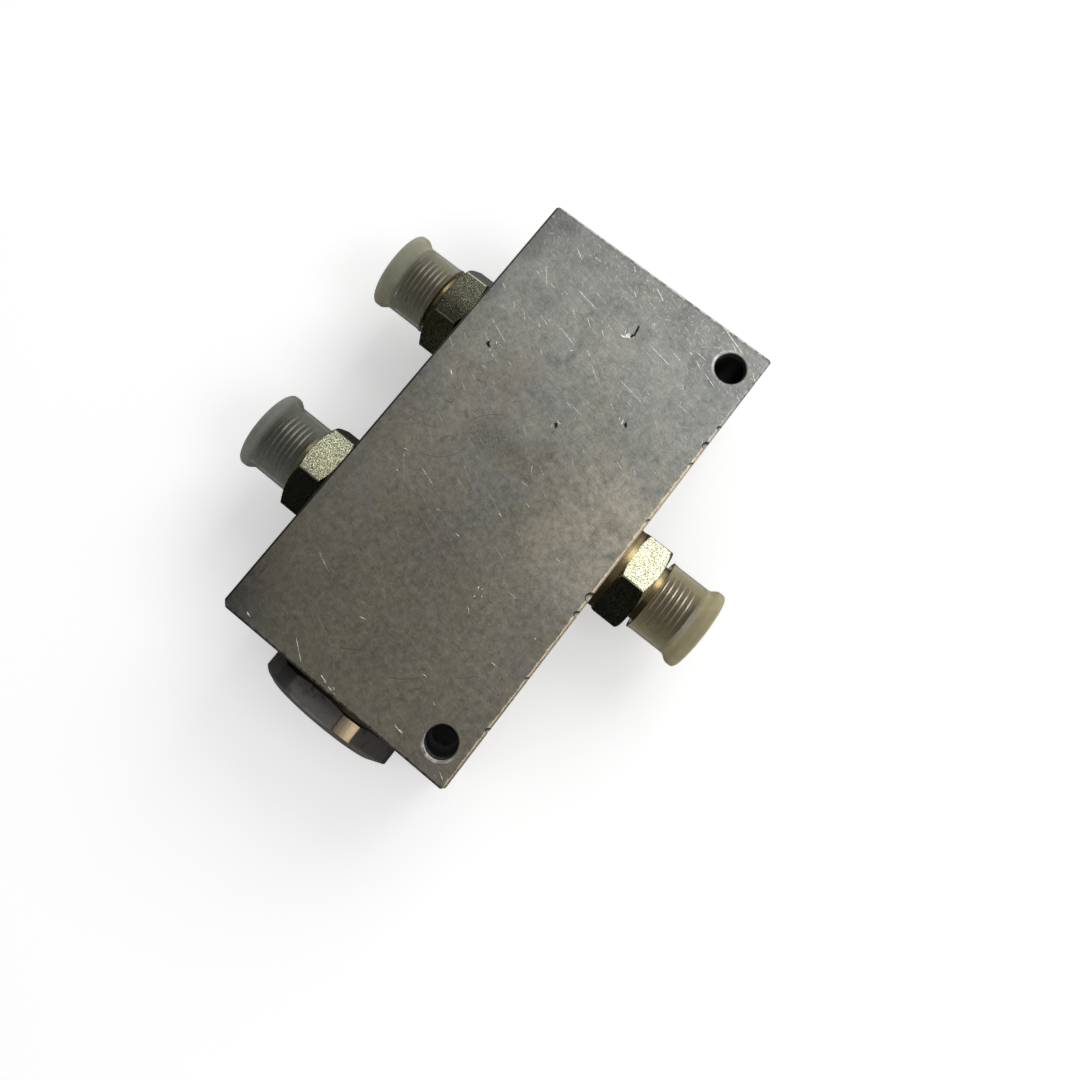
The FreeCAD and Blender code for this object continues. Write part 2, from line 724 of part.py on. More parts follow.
os.makedirs("parts", exist_ok=True)
for item in nodes:
    item.Shape.exportStep(f"parts/{item.Label}.step")
    box = item.Shape.BoundBox
    print(f"{item.Label:20s} {item.Shape.Volume:10.1f} mm3  "
          f"x {box.XMin:7.2f} {box.XMax:7.2f}  y {box.YMin:7.2f} {box.YMax:7.2f}  "
          f"z {box.ZMin:6.2f} {box.ZMax:6.2f}")
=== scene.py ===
import math
import random

import bmesh
import bpy
from bpy.props import FloatProperty, FloatVectorProperty, IntProperty, PointerProperty
from mathutils import Matrix, Vector


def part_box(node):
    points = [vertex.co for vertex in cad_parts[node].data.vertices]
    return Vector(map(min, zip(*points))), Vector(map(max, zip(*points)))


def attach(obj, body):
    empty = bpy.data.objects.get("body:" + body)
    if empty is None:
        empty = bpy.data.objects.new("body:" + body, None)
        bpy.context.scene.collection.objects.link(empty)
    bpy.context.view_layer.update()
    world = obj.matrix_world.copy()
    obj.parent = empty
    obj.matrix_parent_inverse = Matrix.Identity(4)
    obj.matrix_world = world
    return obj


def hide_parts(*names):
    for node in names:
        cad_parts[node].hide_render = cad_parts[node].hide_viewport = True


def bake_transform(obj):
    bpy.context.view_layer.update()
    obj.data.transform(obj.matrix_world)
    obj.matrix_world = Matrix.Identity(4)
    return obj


bl_info = {
    "name": "Flow Divider Valve Finish",
    "version": (1, 0, 0),
    "blender": (4, 5, 0),
    "location": "3D View > Sidebar > Flow divider",
    "description": "Worn block, threaded adapters and frosted caps of a hydraulic flow divider",
    "category": "Object",
}

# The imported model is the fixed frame. Blender's unit is the metre; lengths below in MM.
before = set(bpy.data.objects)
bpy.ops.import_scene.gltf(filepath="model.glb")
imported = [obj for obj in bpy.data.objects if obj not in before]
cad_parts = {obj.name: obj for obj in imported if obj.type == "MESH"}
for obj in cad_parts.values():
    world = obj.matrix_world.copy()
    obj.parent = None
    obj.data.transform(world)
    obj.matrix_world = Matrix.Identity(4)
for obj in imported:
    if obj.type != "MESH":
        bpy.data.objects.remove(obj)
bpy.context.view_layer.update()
MM = 0.001

PORTS = ("inlet", "outlet_a", "outlet_b")
BLOCK_LOW, BLOCK_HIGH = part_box("valve_body")
BLOCK_TOP = BLOCK_HIGH.z
PLUG_LOW, PLUG_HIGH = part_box("end_plug")
PLUG_AXIS_Z = (PLUG_LOW.z + PLUG_HIGH.z) / 2
BOLT_HOLE_Y = 24.5


def node_name(port, piece):
    """inlet_cap on the inlet, outlet_cap_a and outlet_cap_b on the outlets."""
    side, _, letter = port.partition("_")
    return f"{side}_{piece}_{letter}" if letter else f"{side}_{piece}"


def port_frame(port):
    """Matrix from a port's own frame, +Z outwards from the block's face, to the part's frame."""
    low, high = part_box(node_name(port, "seal_ring"))
    outward = 1.0 if low.y > 0 else -1.0
    foot = Vector(((low.x + high.x) / 2, BLOCK_HIGH.y * outward, (low.z + high.z) / 2))
    return Matrix.Translation(foot) @ Matrix.Rotation(math.radians(-90.0 * outward), 4, "X")


# Sizes and colours that a user would change.


def tone_field(name, description, default):
    """Setting for a colour."""
    return FloatVectorProperty(name=name, description=description, subtype="COLOR", size=3,
                               min=0, max=1, default=default)


def length_field(name, description, default, least):
    """Setting for a length; its default and its least value are in millimetres."""
    return FloatProperty(name=name, description=description, unit="LENGTH", subtype="DISTANCE",
                         min=least * MM, default=default * MM)


class BlockSettings(bpy.types.PropertyGroup):
    light_tone: tone_field(
        "Light tone", "Metal at the blind end, where handling polished it", (0.285, 0.290, 0.270))
    dark_tone: tone_field("Dark tone", "Dull metal towards the plug", (0.262, 0.238, 0.182))
    warm_tone: tone_field("Warm tone", "Brownish stain in the clouded metal", (0.255, 0.232, 0.180))
    cool_tone: tone_field("Cool tone", "Bluish grey in the clouded metal", (0.235, 0.250, 0.250))
    # Also the colour of the painted shade on the edge beside the outlets.
    grime_and_shade: tone_field("Grime", "Dark dirt in hairlines, pits and smudges", (0.022, 0.022, 0.026))
    # Also the colour of the painted highlights on the bolt holes' lit rims and on the blind end's edge.
    fresh_metal_and_highlight: tone_field("Fresh metal", "Bright metal in scratches and nicks", (0.90, 0.89, 0.84))
    # Painted warm highlight on the rounded edge beside the inlet.
    painted_edge_glint: tone_field(
        "Golden edge", "Old oil film on the worn edge beside the inlet", (0.90, 0.72, 0.46))
    edge_wear: length_field("Edge wear", "Radius that handling has put on the long edges", 0.14, 0)
    stray_dents: IntProperty(
        name="Stray dents", description="Small handling dents scattered over the top", min=0, default=34)


class ThreadSettings(bpy.types.PropertyGroup):
    pitch: length_field("Pitch", "Distance between crests", 1.337, 0.2)
    crest_radius: length_field("Crest radius", "Half of the thread's major diameter", 8.33, 1)
    depth: length_field("Depth", "Depth of the thread's groove", 0.80, 0.1)
    run_in: length_field(
        "Run-in", "How far the groove runs past each end of the threaded length", 1.5, 0)
    length: length_field("Length", "Threaded length", 8.5, 1)


class AdapterSettings(bpy.types.PropertyGroup):
    hex_tone: tone_field("Hexagon", "Pale yellow passivation on the flats", (0.52, 0.55, 0.40))
    gold_tone: tone_field(
        "Turned gold", "Deeper passivation on the turned neck and collar", (0.33, 0.26, 0.13))
    thread_tone: tone_field("Thread", "Duller plating on the thread", (0.36, 0.31, 0.25))
    edge_break: length_field("Edge break", "Width of the break on the hexagon's edges", 0.12, 0)


class CapSettings(bpy.types.PropertyGroup):
    wall: length_field("Wall", "Thickness of the cap's tube", 0.82, 0.1)
    end_thickness: length_field("End", "Thickness of the closed end", 1.3, 0.1)
    tube_radius: length_field("Tube radius", "Outer radius of the straight tube", 9.25, 1)
    flange_length: length_field("Flange", "Straight length of the wide end", 1.9, 0.1)
    flare_length: length_field("Flare", "Length over which the tube opens to the wide end", 2.4, 0.1)
    tone: tone_field("Plastic", "Milky polyethylene", (0.45, 0.445, 0.355))
    thread_end: length_field(
        "Thread end", "Distance from the block at which the thread under a cap ends", 20.8, 1)
    steps: IntProperty(name="Steps", description="Divisions round a cap", min=24, default=128)


class PlugSettings(bpy.types.PropertyGroup):
    flat_tone: tone_field("Flats", "Grey handled plating on the milled flats", (0.25, 0.252, 0.25))
    gold_tone: tone_field(
        "Turned corners", "Passivation on the turned corners and chamfers", (0.58, 0.45, 0.285))
    # Oxidised copper, made darker still as painted shade in the gap between the block and the plug's
    # head.
    washer_tone_and_shade: tone_field("Washer", "Oxidised copper", (0.030, 0.022, 0.015))


class StageSettings(bpy.types.PropertyGroup):
    floor_tone: tone_field("Floor", "Plain pale floor", (0.93, 0.93, 0.93))
    floor_size: length_field("Floor size", "Side of the square floor", 6000, 500)
    floor_lift: FloatProperty(
        name="Floor lift", description="Whitens the floor for the eye, not for the light on the object",
        min=0, default=0.34)
    sky_strength: FloatProperty(
        name="Sky", description="Strength of the even light from all round", min=0, default=0.50)
    lamp_size: length_field("Lamp size", "Side of the large soft lamp", 400, 100)


GROUPS = {
    "block": BlockSettings,
    "thread": ThreadSettings,
    "adapter": AdapterSettings,
    "cap": CapSettings,
    "plug": PlugSettings,
    "stage": StageSettings,
}


# Node trees written as expressions.


class Wire:
    """An output socket that takes part in ordinary arithmetic."""

    def __init__(self, tree, socket):
        self.tree = tree
        self.socket = socket

    def math(self, operation, *values):
        return self.tree.add("ShaderNodeMath", {"operation": operation}, values)

    def __abs__(self):
        return self.math("ABSOLUTE", self)

    def __neg__(self):
        return self.math("MULTIPLY", self, -1.0)

    def highest(self, other):
        return self.math("MAXIMUM", self, other)

    def lowest(self, other):
        return self.math("MINIMUM", self, other)

    def between(self, low, high):
        """0 at low and 1 at high, with a soft start and end; low may lie above high."""
        return self.tree.add(
            "ShaderNodeMapRange", {"interpolation_type": "SMOOTHSTEP"},
            {"Value": self, "From Min": low, "From Max": high, "To Min": 0.0, "To Max": 1.0})


def teach_arithmetic(symbol, operation):
    """Let a wire stand on either side of one arithmetic sign."""
    setattr(Wire, f"__{symbol}__", lambda self, other: self.math(operation, self, other))
    setattr(Wire, f"__r{symbol}__", lambda self, other: self.math(operation, other, self))


for sign in (("add", "ADD"), ("sub", "SUBTRACT"), ("mul", "MULTIPLY"), ("truediv", "DIVIDE"),
             ("pow", "POWER")):
    teach_arithmetic(*sign)


class Tree:
    """A node tree that is filled in by expressions."""

    def __init__(self, nodes, links):
        self.nodes = nodes
        self.links = links

    def add(self, kind, settings=None, inputs=(), output=0):
        """One node, from its settings and the values or wires of its sockets.

        It returns the wire of one output, or a list of wires for a tuple of outputs.
        """
        node = self.nodes.new(kind)
        for name, value in (settings or {}).items():
            setattr(node, name, value)
        pairs = inputs.items() if isinstance(inputs, dict) else enumerate(inputs)
        for key, value in pairs:
            self.put(node.inputs[key], value)
        if isinstance(output, tuple):
            return [Wire(self, node.outputs[name]) for name in output]
        return Wire(self, node.outputs[output]) if node.outputs else None

    def put(self, socket, value):
        if isinstance(value, Wire):
            self.links.new(value.socket, socket)
            return
        if socket.type == "RGBA" and len(value) == 3:
            value = (*value, 1.0)
        socket.default_value = value

    def split(self, vector):
        """The three parts of a vector."""
        return self.add("ShaderNodeSeparateXYZ", {}, (vector,), ("X", "Y", "Z"))


class Finish(Tree):
    """A material on the principled shader, read in the part's own coordinates."""

    def __init__(self, name, **constants):
        self.material = bpy.data.materials.new(name)
        self.material.use_nodes = True
        tree = self.material.node_tree
        super().__init__(tree.nodes, tree.links)
        self.shader = tree.nodes["Principled BSDF"]
        self.place, self.facing = self.add("ShaderNodeTexCoord", output=("Object", "Normal"))
        self.set(**constants)

    def set(self, **sockets):
        for socket, value in sockets.items():
            self.put(self.shader.inputs[socket.replace("_", " ")], value)

    def axes(self):
        """The three coordinates in millimetres."""
        return [side / MM for side in self.split(self.place)]

    def vector(self, operation, *values, output=0):
        return self.add("ShaderNodeVectorMath", {"operation": operation}, values, output)

    def laid(self, place, size, turn=0.0, centre=(0, 0, 0)):
        """Coordinates in which one unit is size along each axis, turned about Z, from centre."""
        return self.add("ShaderNodeMapping", {"vector_type": "TEXTURE"}, {
            "Vector": place, "Location": centre, "Rotation": (0, 0, math.radians(turn)),
            "Scale": size})

    def noise_at(self, place, detail, roughness, scale=1.0, distortion=0.0):
        return self.add("ShaderNodeTexNoise", {}, {
            "Vector": place, "Scale": scale, "Detail": detail, "Roughness": roughness,
            "Distortion": distortion})

    def noise(self, size, detail, roughness, seed):
        """Noise whose grains are about size long on each axis, from 0 to 1."""
        sizes = (size, size, size) if isinstance(size, float) else size
        centre = (seed * MM, seed * 1.7 * MM, seed * 0.6 * MM)
        return self.noise_at(self.laid(self.place, sizes, 0.0, centre), detail, roughness)

    def rings(self, along, scale, roughness=0.75):
        """Noise that varies in one direction only, as a turning tool leaves it."""
        return self.add("ShaderNodeTexNoise", {"noise_dimensions": "1D"}, {
            "W": along, "Scale": scale, "Detail": 4.0, "Roughness": roughness})

    def mix(self, factor, first, second):
        return self.add("ShaderNodeMix", {"data_type": "RGBA"}, {0: factor, 6: first, 7: second}, 2)

    def shade(self, colour, value):
        """A colour made lighter or darker by a value."""
        grey = self.add("ShaderNodeCombineXYZ", {}, (value, value, value))
        return self.vector("MULTIPLY", colour, grey)

    def bump(self, height, depth, strength):
        """Normal of a relief whose height runs from 0 to depth."""
        return self.add("ShaderNodeBump", {}, {
            "Height": height, "Distance": depth, "Strength": strength})


def geometry_tree(name, inputs):
    """A Geometry Nodes tree with a geometry socket and named inputs, and a dict of their wires."""
    group = bpy.data.node_groups.new(name, "GeometryNodeTree")
    group.interface.new_socket("Geometry", in_out="INPUT", socket_type="NodeSocketGeometry")
    group.interface.new_socket("Geometry", in_out="OUTPUT", socket_type="NodeSocketGeometry")
    for label, kind in inputs.items():
        group.interface.new_socket(label, in_out="INPUT", socket_type=kind)
    tree = Tree(group.nodes, group.links)
    source = group.nodes.new("NodeGroupInput")
    return group, tree, {socket.name: Wire(tree, socket) for socket in source.outputs if socket.name}


def cut_away(tree, wires, cutters):
    """End a tree: take the cutters out of the piece and give it its material."""
    cut = tree.add("GeometryNodeMeshBoolean", {"operation": "DIFFERENCE", "solver": "EXACT"}, {
        "Mesh 1": wires["Geometry"], "Mesh 2": cutters, "Self Intersection": True})
    cut = tree.add("GeometryNodeRealizeInstances", {}, (cut,))
    done = tree.add("GeometryNodeSetMaterial", {}, {"Geometry": cut, "Material": wires["Finish"]})
    tree.add("NodeGroupOutput", {}, (done,))


def run_tree(piece, group, **values):
    """Give the piece the tree as a modifier, set its inputs and make the result its plain mesh."""
    modifier = piece.modifiers.new(group.name, "NODES")
    modifier.node_group = group
    for item in group.interface.items_tree:
        key = item.name.replace(" ", "_")
        if item.in_out == "INPUT" and key in values:
            modifier[item.identifier] = values[key]
    bpy.context.view_layer.update()
    depsgraph = bpy.context.evaluated_depsgraph_get()
    result = bpy.data.meshes.new_from_object(piece.evaluated_get(depsgraph))
    piece.modifiers.remove(modifier)
    if not result.polygons:
        raise RuntimeError(f"{group.name} left nothing of {piece.name}")
    piece.data = result


# Mesh helpers.

# The CAD's triangles are joined where their corners and faces agree within these.
MERGE_REACH = 0.5e-6
COPLANAR = math.radians(0.5)
MILLED_FLAT_AREA = 15.0 * MM * MM
ARC_STEPS = 5


def new_object(name, data):
    """Object at the origin, in the scene."""
    thing = bpy.data.objects.new(name, data)
    bpy.context.scene.collection.objects.link(thing)
    return thing


def new_piece(name, work):
    """Object at the origin that holds a finished bmesh."""
    mesh = bpy.data.meshes.new(name)
    work.to_mesh(mesh)
    work.free()
    return new_object(name, mesh)


def break_edges(work, angle, test, width):
    """Round off the edges that turn by more than an angle in degrees and whose ends pass a test."""
    edges = [edge for edge in work.edges
             if edge.calc_face_angle(0.0) > math.radians(angle)
             and all(test(vert.co) for vert in edge.verts)]
    bmesh.ops.bevel(work, geom=edges, offset=width, offset_type="OFFSET", segments=2,
                    profile=0.5, affect="EDGES", clamp_overlap=True)


def merged_copy(node):
    """A CAD node's triangles as one closed bmesh with flat faces joined."""
    work = bmesh.new()
    work.from_mesh(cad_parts[node].data)
    bmesh.ops.remove_doubles(work, verts=work.verts, dist=MERGE_REACH)
    bmesh.ops.dissolve_limit(work, angle_limit=COPLANAR, verts=work.verts, edges=work.edges)
    return work


def smooth_by_angle(piece, limit=28.0, flat=None):
    """Smooth shading across gentle edges, crisp ones elsewhere, and true flats where flat() says."""
    work = bmesh.new()
    work.from_mesh(piece.data)
    for face in work.faces:
        face.smooth = not (flat and flat(face))
    for edge in work.edges:
        edge.smooth = len(edge.link_faces) == 2 and edge.calc_face_angle(0.0) < math.radians(limit)
    work.to_mesh(piece.data)
    work.free()


def flat_along(axis):
    """Test for the faces square to an axis and for the large milled flats."""
    def test(face):
        return abs(face.normal[axis]) > 0.9999 or face.calc_area() > MILLED_FLAT_AREA
    return test


def on_block_side(face):
    """Whether a face lies in one of the block's six sides."""
    for axis in range(3):
        for level in (BLOCK_LOW[axis], BLOCK_HIGH[axis]):
            if all(abs(vert.co[axis] - level) < 1e-6 for vert in face.verts):
                return True
    return False


def lathe(name, profile, steps, turned):
    """Closed turned form: profile is (radius, height) from pole to pole, turned into place."""
    work = bmesh.new()
    rings = []
    for radius, height in profile:
        if radius < 1e-7:
            rings.append([work.verts.new(turned @ Vector((0, 0, height)))])
            continue
        ring = []
        for k in range(steps):
            angle = math.tau * k / steps
            spot = Vector((radius * math.cos(angle), radius * math.sin(angle), height))
            ring.append(work.verts.new(turned @ spot))
        rings.append(ring)
    for inner, outer in zip(rings, rings[1:]):
        for k in range(steps):
            here, there = k, (k + 1) % steps
            corners = [inner[here % len(inner)], inner[there % len(inner)],
                       outer[there % len(outer)], outer[here % len(outer)]]
            work.faces.new(list(dict.fromkeys(corners)))
    bmesh.ops.recalc_face_normals(work, faces=work.faces)
    return new_piece(name, work)


def rounded(before, corner, after, radius):
    """Points of an arc of a radius that rounds a corner of a profile."""
    corner, before, after = Vector(corner), Vector(before), Vector(after)
    to_before = (before - corner).normalized()
    to_after = (after - corner).normalized()
    half = to_before.angle(to_after) / 2
    reach = radius / math.tan(half)
    centre = corner + (to_before + to_after).normalized() * radius / math.sin(half)
    start = corner + to_before * reach - centre
    sweep = start.angle_signed(corner + to_after * reach - centre)
    points = []
    for k in range(ARC_STEPS + 1):
        spot = start.copy()
        spot.rotate(Matrix.Rotation(-sweep * k / ARC_STEPS, 2))
        points.append(tuple(centre + spot))
    return points


def finish_piece(piece, material, slot, body, *nodes):
    """Give a piece its material and its body, and hide the CAD nodes that it stands for. The slot is not
    used.
    """
    piece.data.materials.clear()
    piece.data.materials.append(material)
    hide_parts(*nodes)
    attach(piece, body)


def dress(node, material):
    """Give a CAD node a better material."""
    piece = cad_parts[node]
    for k in range(len(piece.material_slots)):
        piece.material_slots[k].material = material


# The block.

# Marks on the top face, in millimetres of the part's own frame. Bright scratches: where each
# starts and ends, and its width.
BRIGHT_SCRATCHES = (
    ((9.2, -17.1), (11.3, -10.7), 0.16),
    ((-27.3, -4.0), (-25.9, 0.3), 0.15),
    ((-38.2, 1.9), (-36.6, 9.7), 0.16),
    ((-35.4, 6.2), (-35.2, 8.4), 0.15),
    ((-26.0, 2.6), (-24.1, 11.0), 0.14),
    ((54.8, -14.0), (58.7, -8.9), 0.20),
    ((55.8, 14.2), (56.2, 17.3), 0.55),
    ((33.1, 22.4), (33.1, 24.2), 0.20),
    ((19.0, 16.0), (19.2, 18.8), 0.18),
    ((-50.5, 8.2), (-47.0, 15.0), 0.12),
    ((-54.6, -9.8), (-52.2, -2.2), 0.12),
    ((-44.0, -16.4), (-42.2, -11.0), 0.12),
    ((-31.0, -12.2), (-29.4, -7.6), 0.11),
    ((-47.6, 20.4), (-44.8, 27.2), 0.12),
    ((12.5, 6.0), (14.6, 11.4), 0.12),
    ((-12.4, 15.8), (-10.2, 21.0), 0.12),
    ((38.0, -22.0), (40.4, -16.6), 0.13),
)
# Dark hairlines: where each starts, a place halfway, where it ends, and half its width.
DARK_HAIRS = (
    ((-3.5, -15.0), (-8.1, -12.9), (-11.7, -8.5), 0.12),
    ((2.1, -26.4), (1.6, -22.4), (-0.2, -18.4), 0.13),
    ((7.3, -19.2), (5.0, -14.2), (1.0, -11.3), 0.11),
    ((51.2, -5.1), (49.9, -2.8), (48.1, -0.7), 0.14),
    ((49.4, 7.1), (47.3, 10.4), (44.5, 13.2), 0.15),
    ((40.4, 18.4), (39.2, 20.2), (37.5, 21.6), 0.14),
    ((-42.8, 17.8), (-42.0, 19.2), (-41.0, 18.2), 0.15),
    ((-54.6, 13.3), (-52.8, 14.9), (-50.3, 15.1), 0.13),
    ((-58.3, 1.0), (-57.4, 4.0), (-56.0, 7.5), 0.12),
    ((-58.4, -24.0), (-57.6, -22.9), (-56.3, -22.6), 0.16),
    ((-50.6, -28.2), (-48.8, -27.9), (-47.5, -26.6), 0.15),
)
# Stains on the top face: centre, half length, half width and half depth, turn from +X in
# degrees, and darkness.
SMUDGES = (
    ((-5.5, -7.7), (9.5, 5.5, 8.0), 112.0, 0.85),
    ((-58.0, -27.5), (9.0, 4.5, 8.0), 70.0, 0.55),
    ((-47.0, -29.0), (9.0, 3.4, 8.0), 10.0, 0.36),
    ((-33.0, -29.5), (7.0, 2.6, 8.0), 5.0, 0.26),
)
# Dents and gouges: centre along X and Y, length, width, depth and turn from +X, in
# millimetres and degrees.
DENTS = (
    (-46.4, 2.3, 4.6, 0.55, 0.34, 12.0),
    (-44.8, 2.2, 2.2, 0.9, 0.30, -10.0),
    (-44.2, 1.5, 1.9, 1.0, 0.10, -35.0),
    (-43.5, 0.8, 1.7, 0.8, 0.10, -70.0),
    (-44.7, 0.5, 1.1, 0.5, 0.08, 10.0),
    (-17.0, 1.4, 1.5, 0.8, 0.38, 60.0),
    (-16.5, 1.6, 0.9, 0.7, 0.30, -20.0),
    (-26.8, 13.7, 1.6, 0.8, 0.38, 30.0),
    (-26.3, 13.9, 0.9, 0.7, 0.26, -50.0),
    (-27.3, 11.8, 0.8, 0.5, 0.20, 20.0),
    (-22.3, -22.4, 1.9, 0.8, 0.42, 65.0),
    (-22.8, -22.7, 1.0, 0.8, 0.32, -20.0),
    (-24.2, -20.5, 0.8, 0.5, 0.24, 40.0),
    (-42.0, 18.8, 1.2, 0.5, 0.20, 20.0),
    (22.3, 10.5, 0.7, 0.5, 0.20, 0.0),
    (22.1, 11.3, 0.6, 0.5, 0.20, 0.0),
    (24.3, 11.0, 0.7, 0.5, 0.20, 0.0),
    (23.4, 12.3, 0.6, 0.5, 0.20, 0.0),
    (58.0, -3.3, 2.0, 0.5, 0.20, 78.0),
    (58.4, -2.4, 1.2, 0.35, 0.14, 100.0),
    (58.8, -0.6, 1.6, 0.4, 0.18, 84.0),
    (58.3, -0.2, 0.9, 0.3, 0.10, 60.0),
    (59.0, 0.6, 0.8, 0.3, 0.12, 95.0),
    (6.9, 4.4, 1.2, 0.5, 0.18, 75.0),
    (-17.9, 1.6, 1.2, 0.45, 0.09, 80.0),
    (-16.4, 0.8, 0.9, 0.35, 0.08, 20.0),
    (-26.9, 12.8, 1.3, 0.40, 0.09, 8.0),
    (-23.2, -22.6, 1.0, 0.40, 0.09, 70.0),
    (-21.6, -21.2, 0.8, 0.40, 0.16, 40.0),
    (-21.0, -19.9, 1.0, 0.35, 0.14, 75.0),
    (-20.5, -18.7, 0.7, 0.30, 0.12, 60.0),
    (-23.9, -21.1, 0.7, 0.30, 0.08, 0.0),
)
# Nicks in the long edge beside the inlet: place along X, length and depth.
EDGE_NICKS = (
    (-39.6, 1.6, 0.45),
    (-34.4, 2.4, 0.70),
    (-29.0, 1.2, 0.35),
    (-12.5, 1.5, 0.35),
    (8.9, 2.8, 0.85),
    (13.5, 2.0, 0.60),
    (31.0, 1.4, 0.35),
    (44.5, 1.8, 0.40),
)
# How the nicks lean over the edge and turn from it, in degrees.
NICK_LEAN = -18.0
NICK_TURN = 24.0
# Corners of the block knocked blunt: which one, and how far in from the sharp corner at the top.
KNOCKED_CORNERS = (((1, -1), 0.95), ((-1, -1), 0.57), ((1, 1), 0.64))
CORNER_LEAN = 0.12
# Each bolt hole's place along X, and the side on which its rim gets a painted highlight and its wall
# less painted shade.
BOLT_HOLES = ((-52.5, (-0.1, -0.6)), (52.5, (1.0, 0.2)))
# Where along X and Y, in millimetres, the band that wear has rounded starts.
INNER_X = 59.42
INNER_Y = 30.42
DENT_SEED = 11


def knock_corners(work):
    """Cut the worn corners off by planes that lean in towards the top."""
    for (side_x, side_y), depth in KNOCKED_CORNERS:
        corner = Vector((BLOCK_HIGH.x * side_x, BLOCK_HIGH.y * side_y, BLOCK_TOP))
        outward = Vector((side_x, side_y, CORNER_LEAN)).normalized()
        cut = bmesh.ops.bisect_plane(
            work, geom=work.verts[:] + work.edges[:] + work.faces[:], dist=1e-7,
            plane_co=corner - outward * depth * MM, plane_no=outward, clear_outer=True)
        rim = [part for part in cut["geom_cut"] if isinstance(part, bmesh.types.BMEdge)]
        for face in bmesh.ops.edgeloop_fill(work, edges=rim)["faces"]:
            face.normal_update()
            if face.normal.dot(outward) < 0:
                face.normal_flip()


def dent_points(settings):
    """Points that carry the size and turn of every dent and nick as attributes."""
    spots, turns, sizes = [], [], []

    def press(x, y, length, width, depth, turn):
        # The cutter is an ellipsoid whose lowest part dips under the face by depth.
        half_height = max(depth * 1.6, 0.25)
        spots.append((x * MM, y * MM, BLOCK_TOP + (half_height - depth) * MM))
        reach = math.sqrt(1 - ((half_height - depth) / half_height) ** 2)
        sizes.append((length * MM / reach, width * MM / reach, half_height * 2 * MM))
        turns.append((0.0, 0.0, math.radians(turn)))

    for dent in DENTS:
        press(*dent)
    for (x0, y0), (x1, y1), width in BRIGHT_SCRATCHES:
        heading = math.degrees(math.atan2(y1 - y0, x1 - x0))
        press((x0 + x1) / 2, (y0 + y1) / 2, math.hypot(x1 - x0, y1 - y0), width, 0.07, heading)
    for x, length, depth in EDGE_NICKS:
        spots.append((x * MM, BLOCK_HIGH.y + 0.25 * MM, BLOCK_TOP + 0.25 * MM))
        sizes.append((length * MM, (depth + 0.9) * 2 * MM, (depth + 0.7) * 2 * MM))
        turns.append((math.radians(NICK_LEAN), 0.0, math.radians(NICK_TURN)))
    stream = random.Random(DENT_SEED)
    for _ in range(settings.stray_dents):
        x = stream.uniform(-58.0, 58.0)
        y = stream.uniform(-29.0, 29.0)
        length = stream.uniform(0.5, 2.4)
        width = stream.uniform(0.16, 0.34)
        turn = stream.gauss(70.0, 28.0)
        press(x, y, length, width, stream.uniform(0.05, 0.12), turn)
    mesh = bpy.data.meshes.new("dent_points")
    mesh.from_pydata(spots, [], [])
    for name, values in (("turn", turns), ("size", sizes)):
        attribute = mesh.attributes.new(name, "FLOAT_VECTOR", "POINT")
        attribute.data.foreach_set("vector", [c for value in values for c in value])
    return new_object("dent_points", mesh)


def dent_tree():
    """Cuts an ellipsoid out of the piece at every point of another object."""
    group, tree, wires = geometry_tree("press_dents", {
        "Points": "NodeSocketObject", "Detail": "NodeSocketInt", "Finish": "NodeSocketMaterial"})
    points = tree.add("GeometryNodeObjectInfo", {}, {"Object": wires["Points"]}, output=4)
    ball = tree.add("GeometryNodeMeshIcoSphere", {}, {"Radius": 0.5, "Subdivisions": wires["Detail"]})
    turn = tree.add("GeometryNodeInputNamedAttribute", {"data_type": "FLOAT_VECTOR"}, {"Name": "turn"})
    size = tree.add("GeometryNodeInputNamedAttribute", {"data_type": "FLOAT_VECTOR"}, {"Name": "size"})
    rotation = tree.add("FunctionNodeEulerToRotation", {}, (turn,))
    cutters = tree.add("GeometryNodeInstanceOnPoints", {}, {
        "Points": points, "Instance": ball, "Rotation": rotation, "Scale": size})
    cut_away(tree, wires, tree.add("GeometryNodeRealizeInstances", {}, (cutters,)))
    return group


